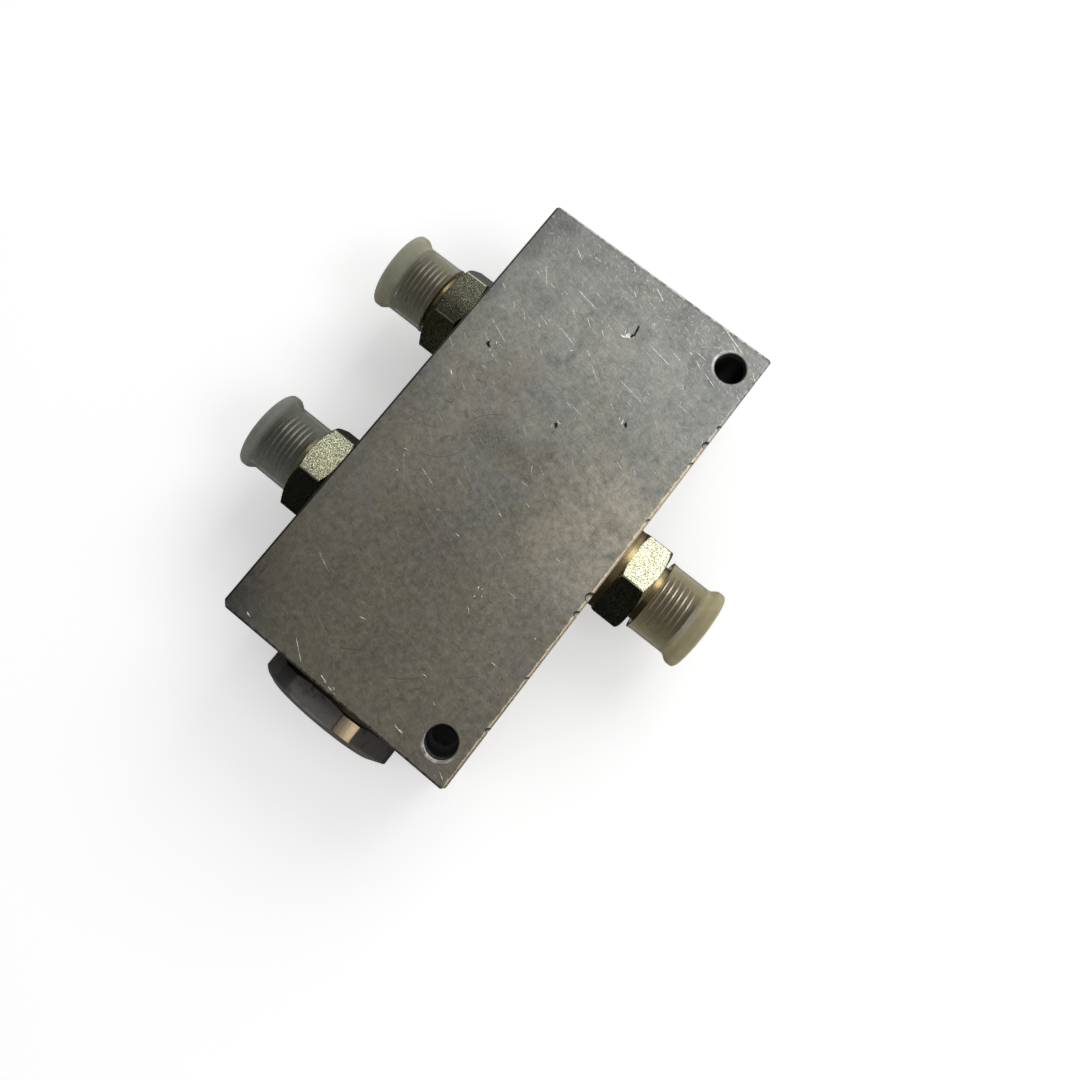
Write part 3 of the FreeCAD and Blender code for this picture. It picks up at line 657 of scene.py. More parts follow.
class BlockFinish(Finish):
    """Raw aluminium: cloudy, scratched by handling, bright where nicked."""

    def __init__(self, settings):
        super().__init__("block_aluminium_worn", Metallic=0.9)
        self.settings = settings
        self.x, self.y, z = self.axes()
        self.flat = self.vector("MULTIPLY", self.place, (1, 1, 0))
        self.sheet = self.face_sheet(z)
        self.clouds = self.cloud(30.0, 3.0, 0.58, 3.0, 0.6)
        self.patches = self.cloud(8.0, 3.0, 0.55, 41.0, 1.0)
        self.tint = self.cloud(13.0, 2.0, 0.5, 61.0, 0.8)
        self.mottle = self.cloud(1.5, 4.0, 0.70, 8.0)
        self.speck = self.cloud(0.42, 1.0, 0.6, 13.0)
        self.grain = self.brushed(2.6, 0.30, 70.0, 5.0)
        self.top = z.between(BLOCK_TOP / MM - 0.6, BLOCK_TOP / MM - 0.1)
        self.below = BLOCK_TOP / MM - z
        self.inside = (abs(self.x).between(INNER_X + 0.05, INNER_X)
                       * abs(self.y).between(INNER_Y + 0.05, INNER_Y))
        # Where dents cut the face, and where they are deep enough to hold dirt.
        self.cut = self.inside * self.below.between(0.012, 0.03)
        self.deep = self.cut * self.below.between(0.15, 0.27) * self.below.between(0.60, 0.55)
        # The painted warm highlight on the edge beside the inlet, and the painted shade on the edge
        # beside the outlets.
        ragged = self.y + (self.mottle - 0.5) * 1.1
        self.golden = ragged.between(30.15, 30.40) * self.top * self.x.between(-54.0, -26.0)
        self.shaded_edge = self.y.between(-30.38, -30.50) * self.top
        self.holes = [self.bolt_hole(*row) for row in BOLT_HOLES]

    def face_sheet(self, z):
        """Places in millimetres on whichever side of the block is shaded, as a flat sheet."""
        normal_x, _, normal_z = self.split(self.facing)
        end = abs(normal_x).between(0.70, 0.72)
        top = abs(normal_z).between(0.70, 0.72)
        across = self.x + (self.y - self.x) * end
        upward = z + (self.y - z) * top
        return self.add("ShaderNodeCombineXYZ", {}, (across, upward, end * 300.0 + top * 150.0))

    def cloud(self, size, detail, roughness, seed, distortion=0.0):
        """Noise of one size in every direction."""
        moved = self.vector("ADD", self.sheet, (seed, seed, 0))
        return self.noise_at(moved, detail, roughness, 1 / size, distortion)

    def brushed(self, length, width, heading, seed):
        """Noise drawn out along a heading from +X."""
        lines = self.laid(self.sheet, (length, width, 1.0), heading, (seed, seed, 0.0))
        return self.noise_at(lines, 3.0, 0.6)

    def distance(self, point):
        """Distance from a point as seen from above, in millimetres."""
        return self.vector("DISTANCE", self.flat, [side * MM for side in point], output=1) / MM

    def bolt_hole(self, hole_x, lit_side):
        """Masks of a bolt hole with its rim, and of the side that the light reaches."""
        rim = self.distance((hole_x, BOLT_HOLE_Y, 0.0)).between(4.42, 4.34)
        lit_x, lit_y = lit_side
        lit = ((self.x - hole_x) * lit_x + (self.y - BOLT_HOLE_Y) * lit_y).between(0.0, 3.8)
        return rim, lit

    def arc_stroke(self, start, middle, end, width):
        """Mask of a fine curved line through three places on the top face."""
        a, b, c = (Vector((*spot, 0.0)) for spot in (start, middle, end))
        normal = (b - a).cross(c - a)
        if normal.length < 0.05:
            b += Vector((a.y - c.y, c.x - a.x, 0)).normalized() * 0.1
            normal = (b - a).cross(c - a)
        to_b, to_c = b - a, c - a
        centre = a + (to_c.length_squared * normal.cross(to_b)
                      + to_b.length_squared * to_c.cross(normal)) / (2 * normal.length_squared)
        ring = abs(self.distance(centre) - (a - centre).length)
        reach = self.distance((a + c) / 2 + (b - (a + c) / 2) * 0.6)
        half = (c - a).length / 2
        return ring.between(width, width * 0.3) * reach.between(half * 1.08, half * 0.7)

    def scratches(self, cell, width, heading, spread, share, seed, bend=0.0):
        """Mask of fine scratches, at most one to a cell, each with its own length, heading and depth."""
        per_cell = (1 / cell, 1 / cell, 1 / cell)
        spot = self.vector("MULTIPLY_ADD", self.sheet, per_cell, (seed, seed * 1.3, 0.0))
        middle, chance = self.add("ShaderNodeTexVoronoi", {"voronoi_dimensions": "2D"}, {
            "Vector": spot, "Scale": 1.0}, ("Position", "Color"))
        red, green, blue = self.split(chance)
        turned = self.add("ShaderNodeVectorRotate", {"rotation_type": "Z_AXIS"}, {
            "Vector": self.vector("SUBTRACT", spot, middle),
            "Angle": (red - 0.5) * math.radians(-2 * spread) - math.radians(heading)})
        along, across, _ = self.split(turned)
        if bend:
            across = across + along * along * (green - 0.5) * bend
        half = 0.14 + blue * 0.34
        line = abs(across).between(width / cell, width / cell * 0.25)
        reach = (abs(along) / half).between(1.0, 0.5)
        return line * reach * green.between(1 - share, 1 - share + 0.12)

    def metal(self):
        """Clean metal: its tones from end to end, stains, texture, the polish beside the inlet, and
        painted shade towards the blind end and the edge beside the outlets.
        """
        settings, x, y = self.settings, self.x, self.y
        clouds, patches, mottle, speck, tint = (
            self.clouds, self.patches, self.mottle, self.speck, self.tint)
        level = x.between(-85.0, 80.0) + (clouds - 0.5) * 0.9 + (patches - 0.5) * 0.55
        colour = self.mix(level.lowest(1.0).highest(0.0), settings.light_tone, settings.dark_tone)
        warm = tint.between(0.52, 0.66) * x.between(-48.0, -10.0)
        colour = self.mix(warm * 0.6, colour, settings.warm_tone)
        colour = self.mix(tint.between(0.46, 0.34) * 0.25, colour, settings.cool_tone)
        handled = x.between(12.0, -45.0)
        streaks = self.brushed(7.0, 1.8, 74.0, 27.0)
        texture = (self.grain - 0.5) * (0.52 + handled * 0.10) + (mottle - 0.5) * (0.85 + handled * 0.15)
        texture = texture + (speck - 0.5) * (0.44 + handled * 0.16)
        texture = texture + (streaks - 0.5) * (0.24 + handled * 0.16)
        texture = texture + (patches - 0.5) * (0.25 + handled * 0.55) + (clouds - 0.5) * 0.40
        polish = y.between(0.0, 24.0) * x.between(-26.0, -8.0) * x.between(20.0, 0.0)
        polish = polish * patches.between(0.20, 0.50)
        colour = self.mix(polish * 0.7, colour, self.shade(settings.warm_tone, 1.25))
        # Painted shade: darker towards the blind end and towards the edge beside the outlets.
        shadow = (1 - x.between(-34.0, -60.0) * 0.27) * (1 - y.between(-25.0, -31.0) * 0.14)
        far_corner = x.between(38.0, 60.0) * y.between(-16.0, -31.0)
        colour = self.mix(far_corner * 0.65, colour, self.shade(settings.cool_tone, 0.36))
        return self.shade(colour, (1.03 + texture) * (1 + polish * 0.32) * shadow)

    def wear_and_highlights(self):
        """Mask of bright metal and painted highlights: scratches, flanks of dents, rubbed edges, a
        painted highlight on the blind end's edge, the painted warm highlight beside the inlet and
        painted highlights on the lit rims of holes.
        """
        x, y, mottle, speck, below = self.x, self.y, self.mottle, self.speck, self.below
        bright = self.scratches(4.2, 0.095, 64.0, 24.0, 0.34, 2.0)
        bright = bright.highest(self.scratches(2.3, 0.075, 66.0, 60.0, 0.40, 17.0) * 0.45)
        bright = bright.highest(self.scratches(11.0, 0.11, 62.0, 22.0, 0.48, 29.0, 0.12))
        worn_end = 0.20 + x.between(26.0, -50.0) * 0.80
        edge_rub = self.scratches(1.3, 0.055, 60.0, 60.0, 0.70, 53.0)
        beside_inlet = y.between(22.0, 30.0) * x.between(5.0, -30.0)
        edge_rub = edge_rub * x.between(-38.0, -57.0).highest(beside_inlet * 0.6)
        gaps = 0.30 + speck.between(0.40, 0.54) * 0.70
        bright = (bright * worn_end).highest(edge_rub * 0.75) * gaps * (0.4 + self.top * 0.6)
        flank = self.cut * (1 - self.deep) * below.between(0.42, 0.30)
        bright = bright.highest(flank * (0.25 + mottle.between(0.44, 0.56) * 0.5))
        # Painted highlight on the blind end's edge.
        painted_blind_edge_highlight = x.between(-59.40, -59.52) * self.top
        rubbed = mottle.between(0.42, 0.58) * (0.40 + painted_blind_edge_highlight * 0.45)
        rubbed = rubbed * (1 - self.golden) * (1 - self.inside) * (1 - self.shaded_edge) * self.top
        # Painted warm highlight along the edge beside the inlet.
        edge_glint = self.golden * (0.35 + speck.between(0.34, 0.50) * 0.55)
        bright = bright.highest(rubbed).highest(edge_glint)
        # Painted highlights on the lit side of each bolt hole's rim.
        for rim, lit in self.holes:
            shine = rim * below.between(14.0, 0.5) * lit * mottle.between(0.30, 0.62)
            bright = bright.highest(shine * 0.80)
        return bright

    def dirt_and_shade(self):
        """Mask of dark marks and painted shade: specks, wisps, hairlines, stains, what lies in pits, a
        dark line inside the blind end's edge, the painted shade on the edge beside the outlets and
        darker patches along the rounded edges.
        """
        x, mottle, speck, patches, top = self.x, self.mottle, self.speck, self.patches, self.top
        wisps = abs(patches - 0.5).between(0.011, 0.002) * self.clouds.between(0.42, 0.58)
        wisps = wisps.highest(abs(self.tint - 0.47).between(0.0045, 0.001) * patches.between(0.45, 0.60))
        dark = (speck.between(0.70, 0.76) * 0.5).highest(wisps * 0.26)
        dark = dark.highest(self.scratches(4.5, 0.08, 120.0, 90.0, 0.30, 83.0, 1.2) * 0.40)
        gaps = 0.25 + mottle.between(0.40, 0.60) * 0.3
        for stroke in DARK_HAIRS:
            dark = dark.highest(self.arc_stroke(*stroke) * top * gaps)
        stain = mottle.between(0.50, 0.66) * 0.80 + abs(mottle - 0.48).between(0.035, 0.008) * 0.70
        for (spot_x, spot_y), size, turn, depth in SMUDGES:
            centre = (spot_x * MM, spot_y * MM, BLOCK_TOP)
            oval = self.laid(self.place, [side * MM for side in size], turn, centre)
            reach = self.vector("LENGTH", oval, output=1)
            dark = dark.highest(reach.between(1.0, 0.2) * stain * top * depth)
        # Painted shade on the edge beside the outlets.
        dark = dark.highest(self.shaded_edge * (0.55 + mottle * 0.35))
        blind_line = x.between(-58.9, -59.25) * x.between(-59.50, -59.40)
        dark = dark.highest(blind_line * top * speck * 0.55)
        edges = (1 - self.inside) * top * (1 - self.golden)
        return dark.highest(self.deep).highest(edges * mottle.between(0.50, 0.40) * 0.6)

    def hollow(self):
        """Mask of the bolt holes' walls where the light doesn't reach."""
        below = self.below
        wall = below.between(0.9, 3.0) * below.between(41.6, 40.5)
        return sum(rim * wall * (1 - lit * below.between(15.0, 4.0)) for rim, lit in self.holes)

    def complete(self):
        """Feed the shader and return the material."""
        # Bright metal and painted highlights, with the painted warm highlight beside the inlet.
        bright_and_glint = self.mix(self.golden, self.settings.fresh_metal_and_highlight, self.settings.painted_edge_glint)
        colour = self.mix(self.wear_and_highlights(), self.metal(), bright_and_glint)
        colour = self.mix(self.dirt_and_shade(), colour, self.settings.grime_and_shade)
        colour = self.shade(colour, 1 - self.hollow() * 0.90)
        relief = self.grain * 0.15 + self.speck * 0.30 + self.mottle * 0.45
        rough = 0.42 + (self.mottle - 0.5) * 0.25 + (self.clouds - 0.5) * 0.15
        self.set(Base_Color=colour, Roughness=rough, Normal=self.bump(relief, 0.05 * MM, 0.6))
        return self.material


class FLOWVALVE_OT_block(bpy.types.Operator):
    """Copy the drilled block, break its edges and press the dents of use into its top"""

    bl_idname = "flowvalve.block"
    bl_label = "Worn block"

    def execute(self, context):
        settings = context.scene.flowvalve_block
        work = merged_copy("valve_body")
        knock_corners(work)
        break_edges(work, 20, self.at_edge, settings.edge_wear)
        piece = new_piece("valve_block", work)
        points = dent_points(settings)
        material = BlockFinish(settings).complete()
        run_tree(piece, dent_tree(), Points=points, Detail=3, Finish=material)
        bpy.data.objects.remove(points)
        smooth_by_angle(piece, flat=on_block_side)
        finish_piece(piece, material, "block_aluminium", "valve", "valve_body")
        return {"FINISHED"}

    @staticmethod
    def at_edge(spot):
        """Whether a place lies on an edge between two of the block's sides."""
        inset = 0.55 * MM
        outer = (abs(spot.x) > BLOCK_HIGH.x - inset, abs(spot.y) > BLOCK_HIGH.y - inset,
                 spot.z < BLOCK_LOW.z + inset or spot.z > BLOCK_HIGH.z - inset)
        return sum(outer) >= 2


# Adapters.


def thread_tree():
    """Cuts a helical V groove round the axis of a port into the piece."""
    number = "NodeSocketFloat"
    group, tree, wires = geometry_tree("cut_thread", {
        "Pitch": number, "Crest radius": number, "Depth": number, "Length": number,
        "Foot": "NodeSocketVector", "Turn": "NodeSocketVector", "Steps": "NodeSocketInt",
        "Finish": "NodeSocketMaterial"})
    pitch, depth, length = wires["Pitch"], wires["Depth"], wires["Length"]
    coil = tree.add("GeometryNodeCurveSpiral", {}, {
        "Resolution": wires["Steps"], "Rotations": length / pitch, "Start Radius": wires["Crest radius"],
        "End Radius": wires["Crest radius"], "Height": length, "Reverse": True})
    coil = tree.add("GeometryNodeSetCurveNormal", {"mode": "Z_UP"}, (coil,))
    # The groove's section: a narrow root and flanks that open past the crest.
    root = pitch * 0.08
    mouth = pitch * 0.48
    margin = depth * 0.35
    corners = []
    for outward, across in ((-depth, root), (-depth, -root), (margin, -mouth), (margin, mouth)):
        corners.append(tree.add("ShaderNodeCombineXYZ", {}, (outward, across, 0.0)))
    section = tree.add("GeometryNodeCurvePrimitiveQuadrilateral", {"mode": "POINTS"}, {
        f"Point {k}": corner for k, corner in enumerate(corners, start=1)})
    groove = tree.add("GeometryNodeCurveToMesh", {}, {
        "Curve": coil, "Profile Curve": section, "Fill Caps": True})
    turn = tree.add("FunctionNodeEulerToRotation", {}, (wires["Turn"],))
    groove = tree.add("GeometryNodeTransform", {}, {
        "Geometry": groove, "Translation": wires["Foot"], "Rotation": turn})
    cut_away(tree, wires, groove)
    return group


THREAD_STEPS = 72
# Each hexagon, in millimetres: where it starts and ends from the block's face, and how far
# its flats and its corners lie from the port's axis.
HEX_START = 2.3
HEX_END = 9.8
HEX_FLAT_RADIUS = 11.0
HEX_CORNER_RADIUS = 12.30
# How bright each hexagon is: partly how much brightness its plating has held, partly painted shade.
BRIGHTNESS = {"inlet": 0.92, "outlet_a": 0.15, "outlet_b": 0.55}
# Painted light and shade on the flats that face the plug: how bright they are instead.
PAINTED_SIDE_LIGHT = {"inlet": 0.25, "outlet_a": 0.80, "outlet_b": 0.32}
# How much painted light makes each hexagon brighter towards the blind end than towards the plug.
PAINTED_LIGHT_LEAN = {"inlet": 0.0, "outlet_a": 1.1, "outlet_b": 0.35}


def adapter_finish(settings, port):
    """Yellow passivated steel: speckled flats, golden turned neck and duller thread, with painted light
    and shade on the flats, the hexagon's corners and the thread.
    """
    finish = Finish("adapter_steel_" + port, Metallic=1.0)
    low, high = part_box(node_name(port, "adapter"))
    x, y, z = finish.axes()
    outward = abs(y) - BLOCK_HIGH.y / MM
    across = x - (low.x + high.x) / 2 / MM
    upward = z - (low.z + high.z) / 2 / MM
    radius = (across * across + upward * upward) ** 0.5
    on_hex = outward.between(HEX_START - 0.05, HEX_START + 0.05) * outward.between(
        HEX_END + 0.02, HEX_END - 0.02)
    flats = on_hex * radius.between(HEX_FLAT_RADIUS - 0.15, HEX_FLAT_RADIUS - 0.02)
    threaded = outward.between(HEX_END + 2.1, HEX_END + 2.5)
    crest = radius.between(8.20, 8.32)
    clouds = finish.noise(4.5 * MM, 4.0, 0.6, 4.0)
    grains = finish.noise(0.25 * MM, 1.0, 0.60, 6.0)
    glitter = grains.between(0.34, 0.66)
    pit_size = (0.60 * MM, 0.60 * MM, 0.60 * MM)
    pits = finish.add("ShaderNodeTexVoronoi", {}, {
        "Vector": finish.laid(finish.place, pit_size), "Scale": 1.0})
    speckle = pits.between(0.15, 0.05) * finish.noise(1.4 * MM, 1.0, 0.55, 15.0).between(0.45, 0.65)
    facing_x, _, facing_z = finish.split(finish.facing)
    plugward = facing_x.between(0.2, 0.6)
    blindward = facing_x.between(-0.2, -0.6)
    rings = finish.rings(outward, 3.5)
    hexagon = finish.mix(clouds * 0.5, settings.hex_tone, finish.shade(settings.gold_tone, 1.35))
    # Painted light and shade: flats facing the plug take their own level, flats facing the blind end are
    # darkened, and each hexagon grows lighter towards the blind end.
    plating_and_painted_light = BRIGHTNESS[port] + plugward * (PAINTED_SIDE_LIGHT[port] - BRIGHTNESS[port])
    plating_and_painted_light = plating_and_painted_light * (1 - blindward * 0.5) * (1 + (across.between(4.5, -4.5) - 0.5) * PAINTED_LIGHT_LEAN[port])
    sparks = grains.between(0.60, 0.68) * clouds.between(0.30, 0.60)
    hexagon = finish.shade(hexagon, (0.24 + glitter * 1.40 + sparks * 1.6) * plating_and_painted_light)
    hexagon = finish.mix(speckle * 0.6, hexagon, (0.06, 0.055, 0.03))
    square_on = (facing_x * across + facing_z * upward) / radius
    # Painted highlight along the hexagon's broken corners.
    corner = radius.between(HEX_CORNER_RADIUS, HEX_CORNER_RADIUS + 0.15) * square_on.between(0.91, 0.97)
    hexagon = finish.mix(corner * (0.4 + glitter * 0.5), hexagon, finish.shade(settings.hex_tone, 1.3))
    turned = finish.shade(settings.gold_tone, 0.55 + rings * 0.8)
    # Painted shade in the thread's roots and painted highlight on its crests.
    painted_root_shade, painted_crest_light = (finish.shade(settings.thread_tone, value) for value in (0.20, 1.4))
    thread = finish.shade(finish.mix(crest, painted_root_shade, painted_crest_light), 0.80 + clouds * 0.4)
    colour = finish.mix(flats, turned, hexagon)
    colour = finish.mix(threaded, colour, thread)
    relief = (grains + speckle * -0.8) * flats + rings * (1 - flats) * (1 - threaded) * 0.4
    rough = 0.26 + flats * (grains - 0.4) * 0.25 + threaded * 0.04
    finish.set(Base_Color=colour, Roughness=rough, Normal=finish.bump(relief, 0.07 * MM, 0.9))
    return finish.material


def hexagon_test(low, high):
    """Test for the places on the outside of the hexagon of the adapter in a box."""
    def test(spot):
        outward = (abs(spot.y) - BLOCK_HIGH.y) / MM
        radius = math.hypot(spot.x - (low.x + high.x) / 2, spot.z - (low.z + high.z) / 2) / MM
        return HEX_START - 0.01 < outward < HEX_END + 0.01 and radius > HEX_FLAT_RADIUS - 0.02
    return test


class FLOWVALVE_OT_adapters(bpy.types.Operator):
    """Break the hexagons' edges and cut the threads that show through the caps"""

    bl_idname = "flowvalve.adapters"
    bl_label = "Threaded adapters"

    def execute(self, context):
        settings = context.scene.flowvalve_adapter
        thread = context.scene.flowvalve_thread
        tree = thread_tree()
        for port in PORTS:
            node = node_name(port, "adapter")
            low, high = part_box(node)
            end = max(abs(low.y), abs(high.y)) - BLOCK_HIGH.y
            work = merged_copy(node)
            break_edges(work, 35, hexagon_test(low, high), settings.edge_break)
            piece = new_piece(node + "_threaded", work)
            place = port_frame(port)
            foot = place @ Vector((0, 0, end - thread.length - thread.run_in))
            material = adapter_finish(settings, port)
            run_tree(piece, tree, Pitch=thread.pitch, Crest_radius=thread.crest_radius,
                     Depth=thread.depth, Length=thread.length + 2 * thread.run_in, Foot=foot,
                     Turn=place.to_euler(), Steps=THREAD_STEPS, Finish=material)
            smooth_by_angle(piece, flat=flat_along(1))
            finish_piece(piece, material, "adapter_steel", "valve", node)
        return {"FINISHED"}


# Caps.

# How each cap's plastic has yellowed or greyed, and how much lighter or darker each is made as painted
# light and shade.
CAP_TINTS_AND_SHADE = {
    "inlet": (1.16, 1.02, 0.77),
    "outlet_a": (0.84, 0.83, 0.75),
    "outlet_b": (0.62, 0.66, 0.69),
}
FLARE_STEPS = 6
# How far the rolled lip at the open end stands out, and how far the closed end bulges.
LIP = 0.22 * MM
CROWN = 0.25 * MM


def cap_finish(settings, port):
    """Milky polyethylene that shows the thread behind it and hides more where seen edge on."""
    finish = Finish("cap_plastic_frosted_" + port, Roughness=0.42, IOR=1.5, Specular_IOR_Level=0.3)
    haze = finish.noise(2.6 * MM, 3.0, 0.6, 2.0)
    fine = finish.noise(0.6 * MM, 2.0, 0.5, 12.0)
    outward = abs(finish.axes()[1]) - BLOCK_HIGH.y / MM
    solid = outward.between(settings.thread_end / MM - 0.3, settings.thread_end / MM + 1.2)
    tone = [tone * tint for tone, tint in zip(settings.tone, CAP_TINTS_AND_SHADE[port])]
    cloud = finish.noise(6.0 * MM, 2.0, 0.5, 22.0)
    tone = finish.shade(tone, 0.46 + haze * 0.36 + cloud * 0.40 + solid * 0.16)
    edge_on = finish.add("ShaderNodeLayerWeight", {}, {"Blend": 0.5}, output=1)
    alpha = 0.07 + haze * 0.08 + edge_on ** 1.35 + solid * 0.40
    finish.set(Base_Color=tone, Alpha=alpha.lowest(0.97),
               Normal=finish.bump(fine + haze, 0.03 * MM, 0.35))
    return finish.material


class FLOWVALVE_OT_caps(bpy.types.Operator):
    """Turn the three push-on caps as thin closed shells"""

    bl_idname = "flowvalve.caps"
    bl_label = "Frosted caps"

    def execute(self, context):
        settings = context.scene.flowvalve_cap
        for port in PORTS:
            node = node_name(port, "cap")
            material = cap_finish(settings, port)
            low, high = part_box(node)
            flange = (high.x - low.x) / 2
            rim = min(abs(low.y), abs(high.y)) - BLOCK_HIGH.y
            end = max(abs(low.y), abs(high.y)) - BLOCK_HIGH.y
            profile = self.shell(settings, flange, rim, end)
            piece = lathe(node + "_shell", profile, settings.steps, port_frame(port))
            smooth_by_angle(piece, 50.0)
            finish_piece(piece, material, "cap_plastic", node, node)
        return {"FINISHED"}

    @staticmethod
    def shell(settings, flange, rim, end):
        """Profile from the middle of the outer end, round the mouth, to the inner end."""
        tube = settings.tube_radius
        inner = tube - settings.wall
        floor = end - settings.end_thickness
        flange_start = end - settings.flange_length
        flare = []
        for k in range(FLARE_STEPS + 1):
            share = k / FLARE_STEPS
            radius = flange + (tube - flange) * (1 - math.cos(math.pi * share)) / 2
            flare.append((radius, flange_start - settings.flare_length * share))
        return [
            (0, end),
            (flange * 0.45, end - CROWN * 0.25),
            *rounded((0, end), (flange, end - CROWN), (flange, flange_start), 0.85 * MM),
            *flare,
            (tube, rim + 1.4 * MM),
            (tube + LIP * 0.5, rim + 0.5 * MM),
            (tube + LIP, rim + 0.12 * MM),
            (tube + LIP * 0.6, rim),
            (inner + LIP, rim),
            (inner, rim + 0.5 * MM),
            (inner, floor - 0.5 * MM),
            (inner - 0.5 * MM, floor),
            (0, floor),
        ]


# Plug, washer and seals.

PLUG_EDGE_BREAK = 0.09 * MM
SEAL_TONE = (0.215, 0.165, 0.087)


def plug_finish(settings):
    """Plated steel: grey handled flats, golden turned corners, rings on the end face, painted light on
    the lit corner, painted shade on the other corners and a painted shadow of the block across the flats
    beside it.
    """
    finish = Finish("plug_steel_turned", Metallic=0.8)
    x, y, z = finish.axes()
    upward = z - PLUG_AXIS_Z / MM
    radius = (y * y + upward * upward) ** 0.5
    corner = radius.between(17.62, 17.74) * x.between(60.5, 61.0)
    end_face = x.between(66.6, 66.85)
    clouds = finish.noise(5.0 * MM, 4.0, 0.6, 7.0)
    streaks = finish.noise((5.0 * MM, 0.3 * MM, 0.3 * MM), 2.0, 0.6, 3.0)
    grains = finish.noise(0.4 * MM, 2.0, 0.6, 9.0)
    rings = finish.rings(radius, 6.0)
    smudge = finish.noise(2.4 * MM, 4.0, 0.65, 19.0).between(0.52, 0.70)
    flat = finish.mix(clouds * 0.5, settings.flat_tone, finish.shade(settings.gold_tone, 0.45))
    flat = finish.shade(flat, 0.75 + grains * 0.3 + streaks * 0.2)
    flat = finish.mix(smudge * 0.55, flat, (0.05, 0.05, 0.05))
    # Painted light: the turned corner grows brighter towards +Y, and the turned corners outside that
    # band take a darker flat tone as painted shade.
    lit = 0.20 + y.between(4.6, 8.8) * y.between(4.6, 8.8) * 0.85
    gold = finish.shade(settings.gold_tone, (0.45 + streaks * 1.1) * lit)
    handled = finish.shade(settings.flat_tone, 0.6)
    gold = finish.mix(y.between(-6.0, 2.0) * y.between(12.5, 10.5), handled, gold)
    face = finish.shade(finish.mix(clouds, settings.flat_tone, settings.gold_tone), 0.55 + rings * 0.8)
    colour = finish.mix(corner, flat, gold)
    colour = finish.mix(end_face, colour, face)
    # Painted shadow of the block across the flats beside it, broken up a little by the smudge noise.
    film = x.between(64.6, 61.6) * y.between(8.0, 2.0) * (0.6 + smudge * 0.4)
    colour = finish.mix(film * 0.85, colour, (0.028, 0.024, 0.018))
    relief = grains * (1 - end_face) + rings * end_face + streaks * corner
    rough = 0.32 + (clouds - 0.5) * 0.2
    dulled = x.between(65.3, 65.7) * (1 - end_face)
    finish.set(Base_Color=colour, Roughness=rough, Metallic=0.8 - dulled * 0.3,
               Normal=finish.bump(relief, 0.04 * MM, 0.6))
    return finish.material


def turned_finish(name, tone, axis, roughness, ring_size=0.35, depth=0.03):
    """Turned metal: fine rings along one axis, cloudy tone and a little grain."""
    finish = Finish(name, Metallic=1.0)
    rings = finish.rings(finish.axes()[axis], 1 / ring_size, 0.7)
    clouds = finish.noise(3.5 * MM, 4.0, 0.6, 5.0)
    grains = finish.noise(0.35 * MM, 2.0, 0.6, 14.0)
    colour = finish.shade(tone, 0.45 + rings * 0.6 + clouds * 0.4 + grains * 0.2)
    rough = roughness + (clouds - 0.5) * 0.2
    finish.set(Base_Color=colour, Roughness=rough,
               Normal=finish.bump(rings + grains * 0.5, depth * MM, 0.6))
    return finish.material


def rubber_finish():
    """Matt black rubber with a faint bloom."""
    finish = Finish("seal_rubber_black", Metallic=0.0)
    bloom = finish.noise(1.6 * MM, 4.0, 0.6, 1.0)
    grains = finish.noise(0.2 * MM, 2.0, 0.6, 2.0)
    finish.set(Base_Color=finish.mix(bloom, (0.020, 0.020, 0.020), (0.045, 0.043, 0.040)),
               Roughness=0.62 + bloom * 0.2, Normal=finish.bump(grains, 0.02 * MM, 0.5))
    return finish.material


class FLOWVALVE_OT_plug(bpy.types.Operator):
    """Finish the end plug and its washer, and break the head's edges"""

    bl_idname = "flowvalve.plug"
    bl_label = "End plug"

    def execute(self, context):
        settings = context.scene.flowvalve_plug
        work = merged_copy("end_plug")
        break_edges(work, 14, self.on_head, PLUG_EDGE_BREAK)
        piece = new_piece("end_plug_turned", work)
        smooth_by_angle(piece, 12.0, flat_along(0))
        finish_piece(piece, plug_finish(settings), "plug_steel", "valve", "end_plug")
        dress("plug_washer", turned_finish("washer_copper_dull", settings.washer_tone_and_shade, 0, 0.38))
        return {"FINISHED"}

    @staticmethod
    def on_head(spot):
        """Whether a place lies on the outside of the plug's head."""
        return spot.x > BLOCK_HIGH.x + 0.9 * MM and math.hypot(spot.y, spot.z - PLUG_AXIS_Z) > 16 * MM


class FLOWVALVE_OT_seals(bpy.types.Operator):
    """Finish the bonded seals under the hexagons"""

    bl_idname = "flowvalve.seals"
    bl_label = "Bonded seals"

    def execute(self, context):
        ring = turned_finish("seal_ring_passivated", SEAL_TONE, 1, 0.38)
        rubber = rubber_finish()
        for port in PORTS:
            dress(node_name(port, "seal_ring"), ring)
            dress(node_name(port, "seal_lip"), rubber)
        return {"FINISHED"}


class FLOWVALVE_OT_spool_set(bpy.types.Operator):
    """Finish the spool, its orifice discs, snap rings and springs inside the bore"""

    bl_idname = "flowvalve.spool_set"
    bl_label = "Spool set"

    def execute(self, context):
        ground = turned_finish("spool_steel_ground", (0.52, 0.52, 0.52), 0, 0.22, 0.25, 0.01)
        disc = turned_finish("disc_steel_hard", (0.42, 0.42, 0.44), 2, 0.30)
        spring = turned_finish("spring_steel_oiled", (0.20, 0.20, 0.22), 1, 0.35)
        dress("divider_spool", ground)
        for letter in ("a", "b"):
            dress("orifice_disc_" + letter, disc)
            dress("snap_ring_" + letter, spring)
            self.add_spring("centring_spring_" + letter, spring)
        return {"FINISHED"}

    @staticmethod
    def add_spring(node, material):
        """Coil copied from the CAD node, shaded smooth and given the material, where the CAD node stood.
        """
        coil = new_piece(node + "_coil", merged_copy(node))
        smooth_by_angle(coil, 40.0)
        coil.data.materials.append(material)
        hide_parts(node)
        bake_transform(coil)


# Stage.

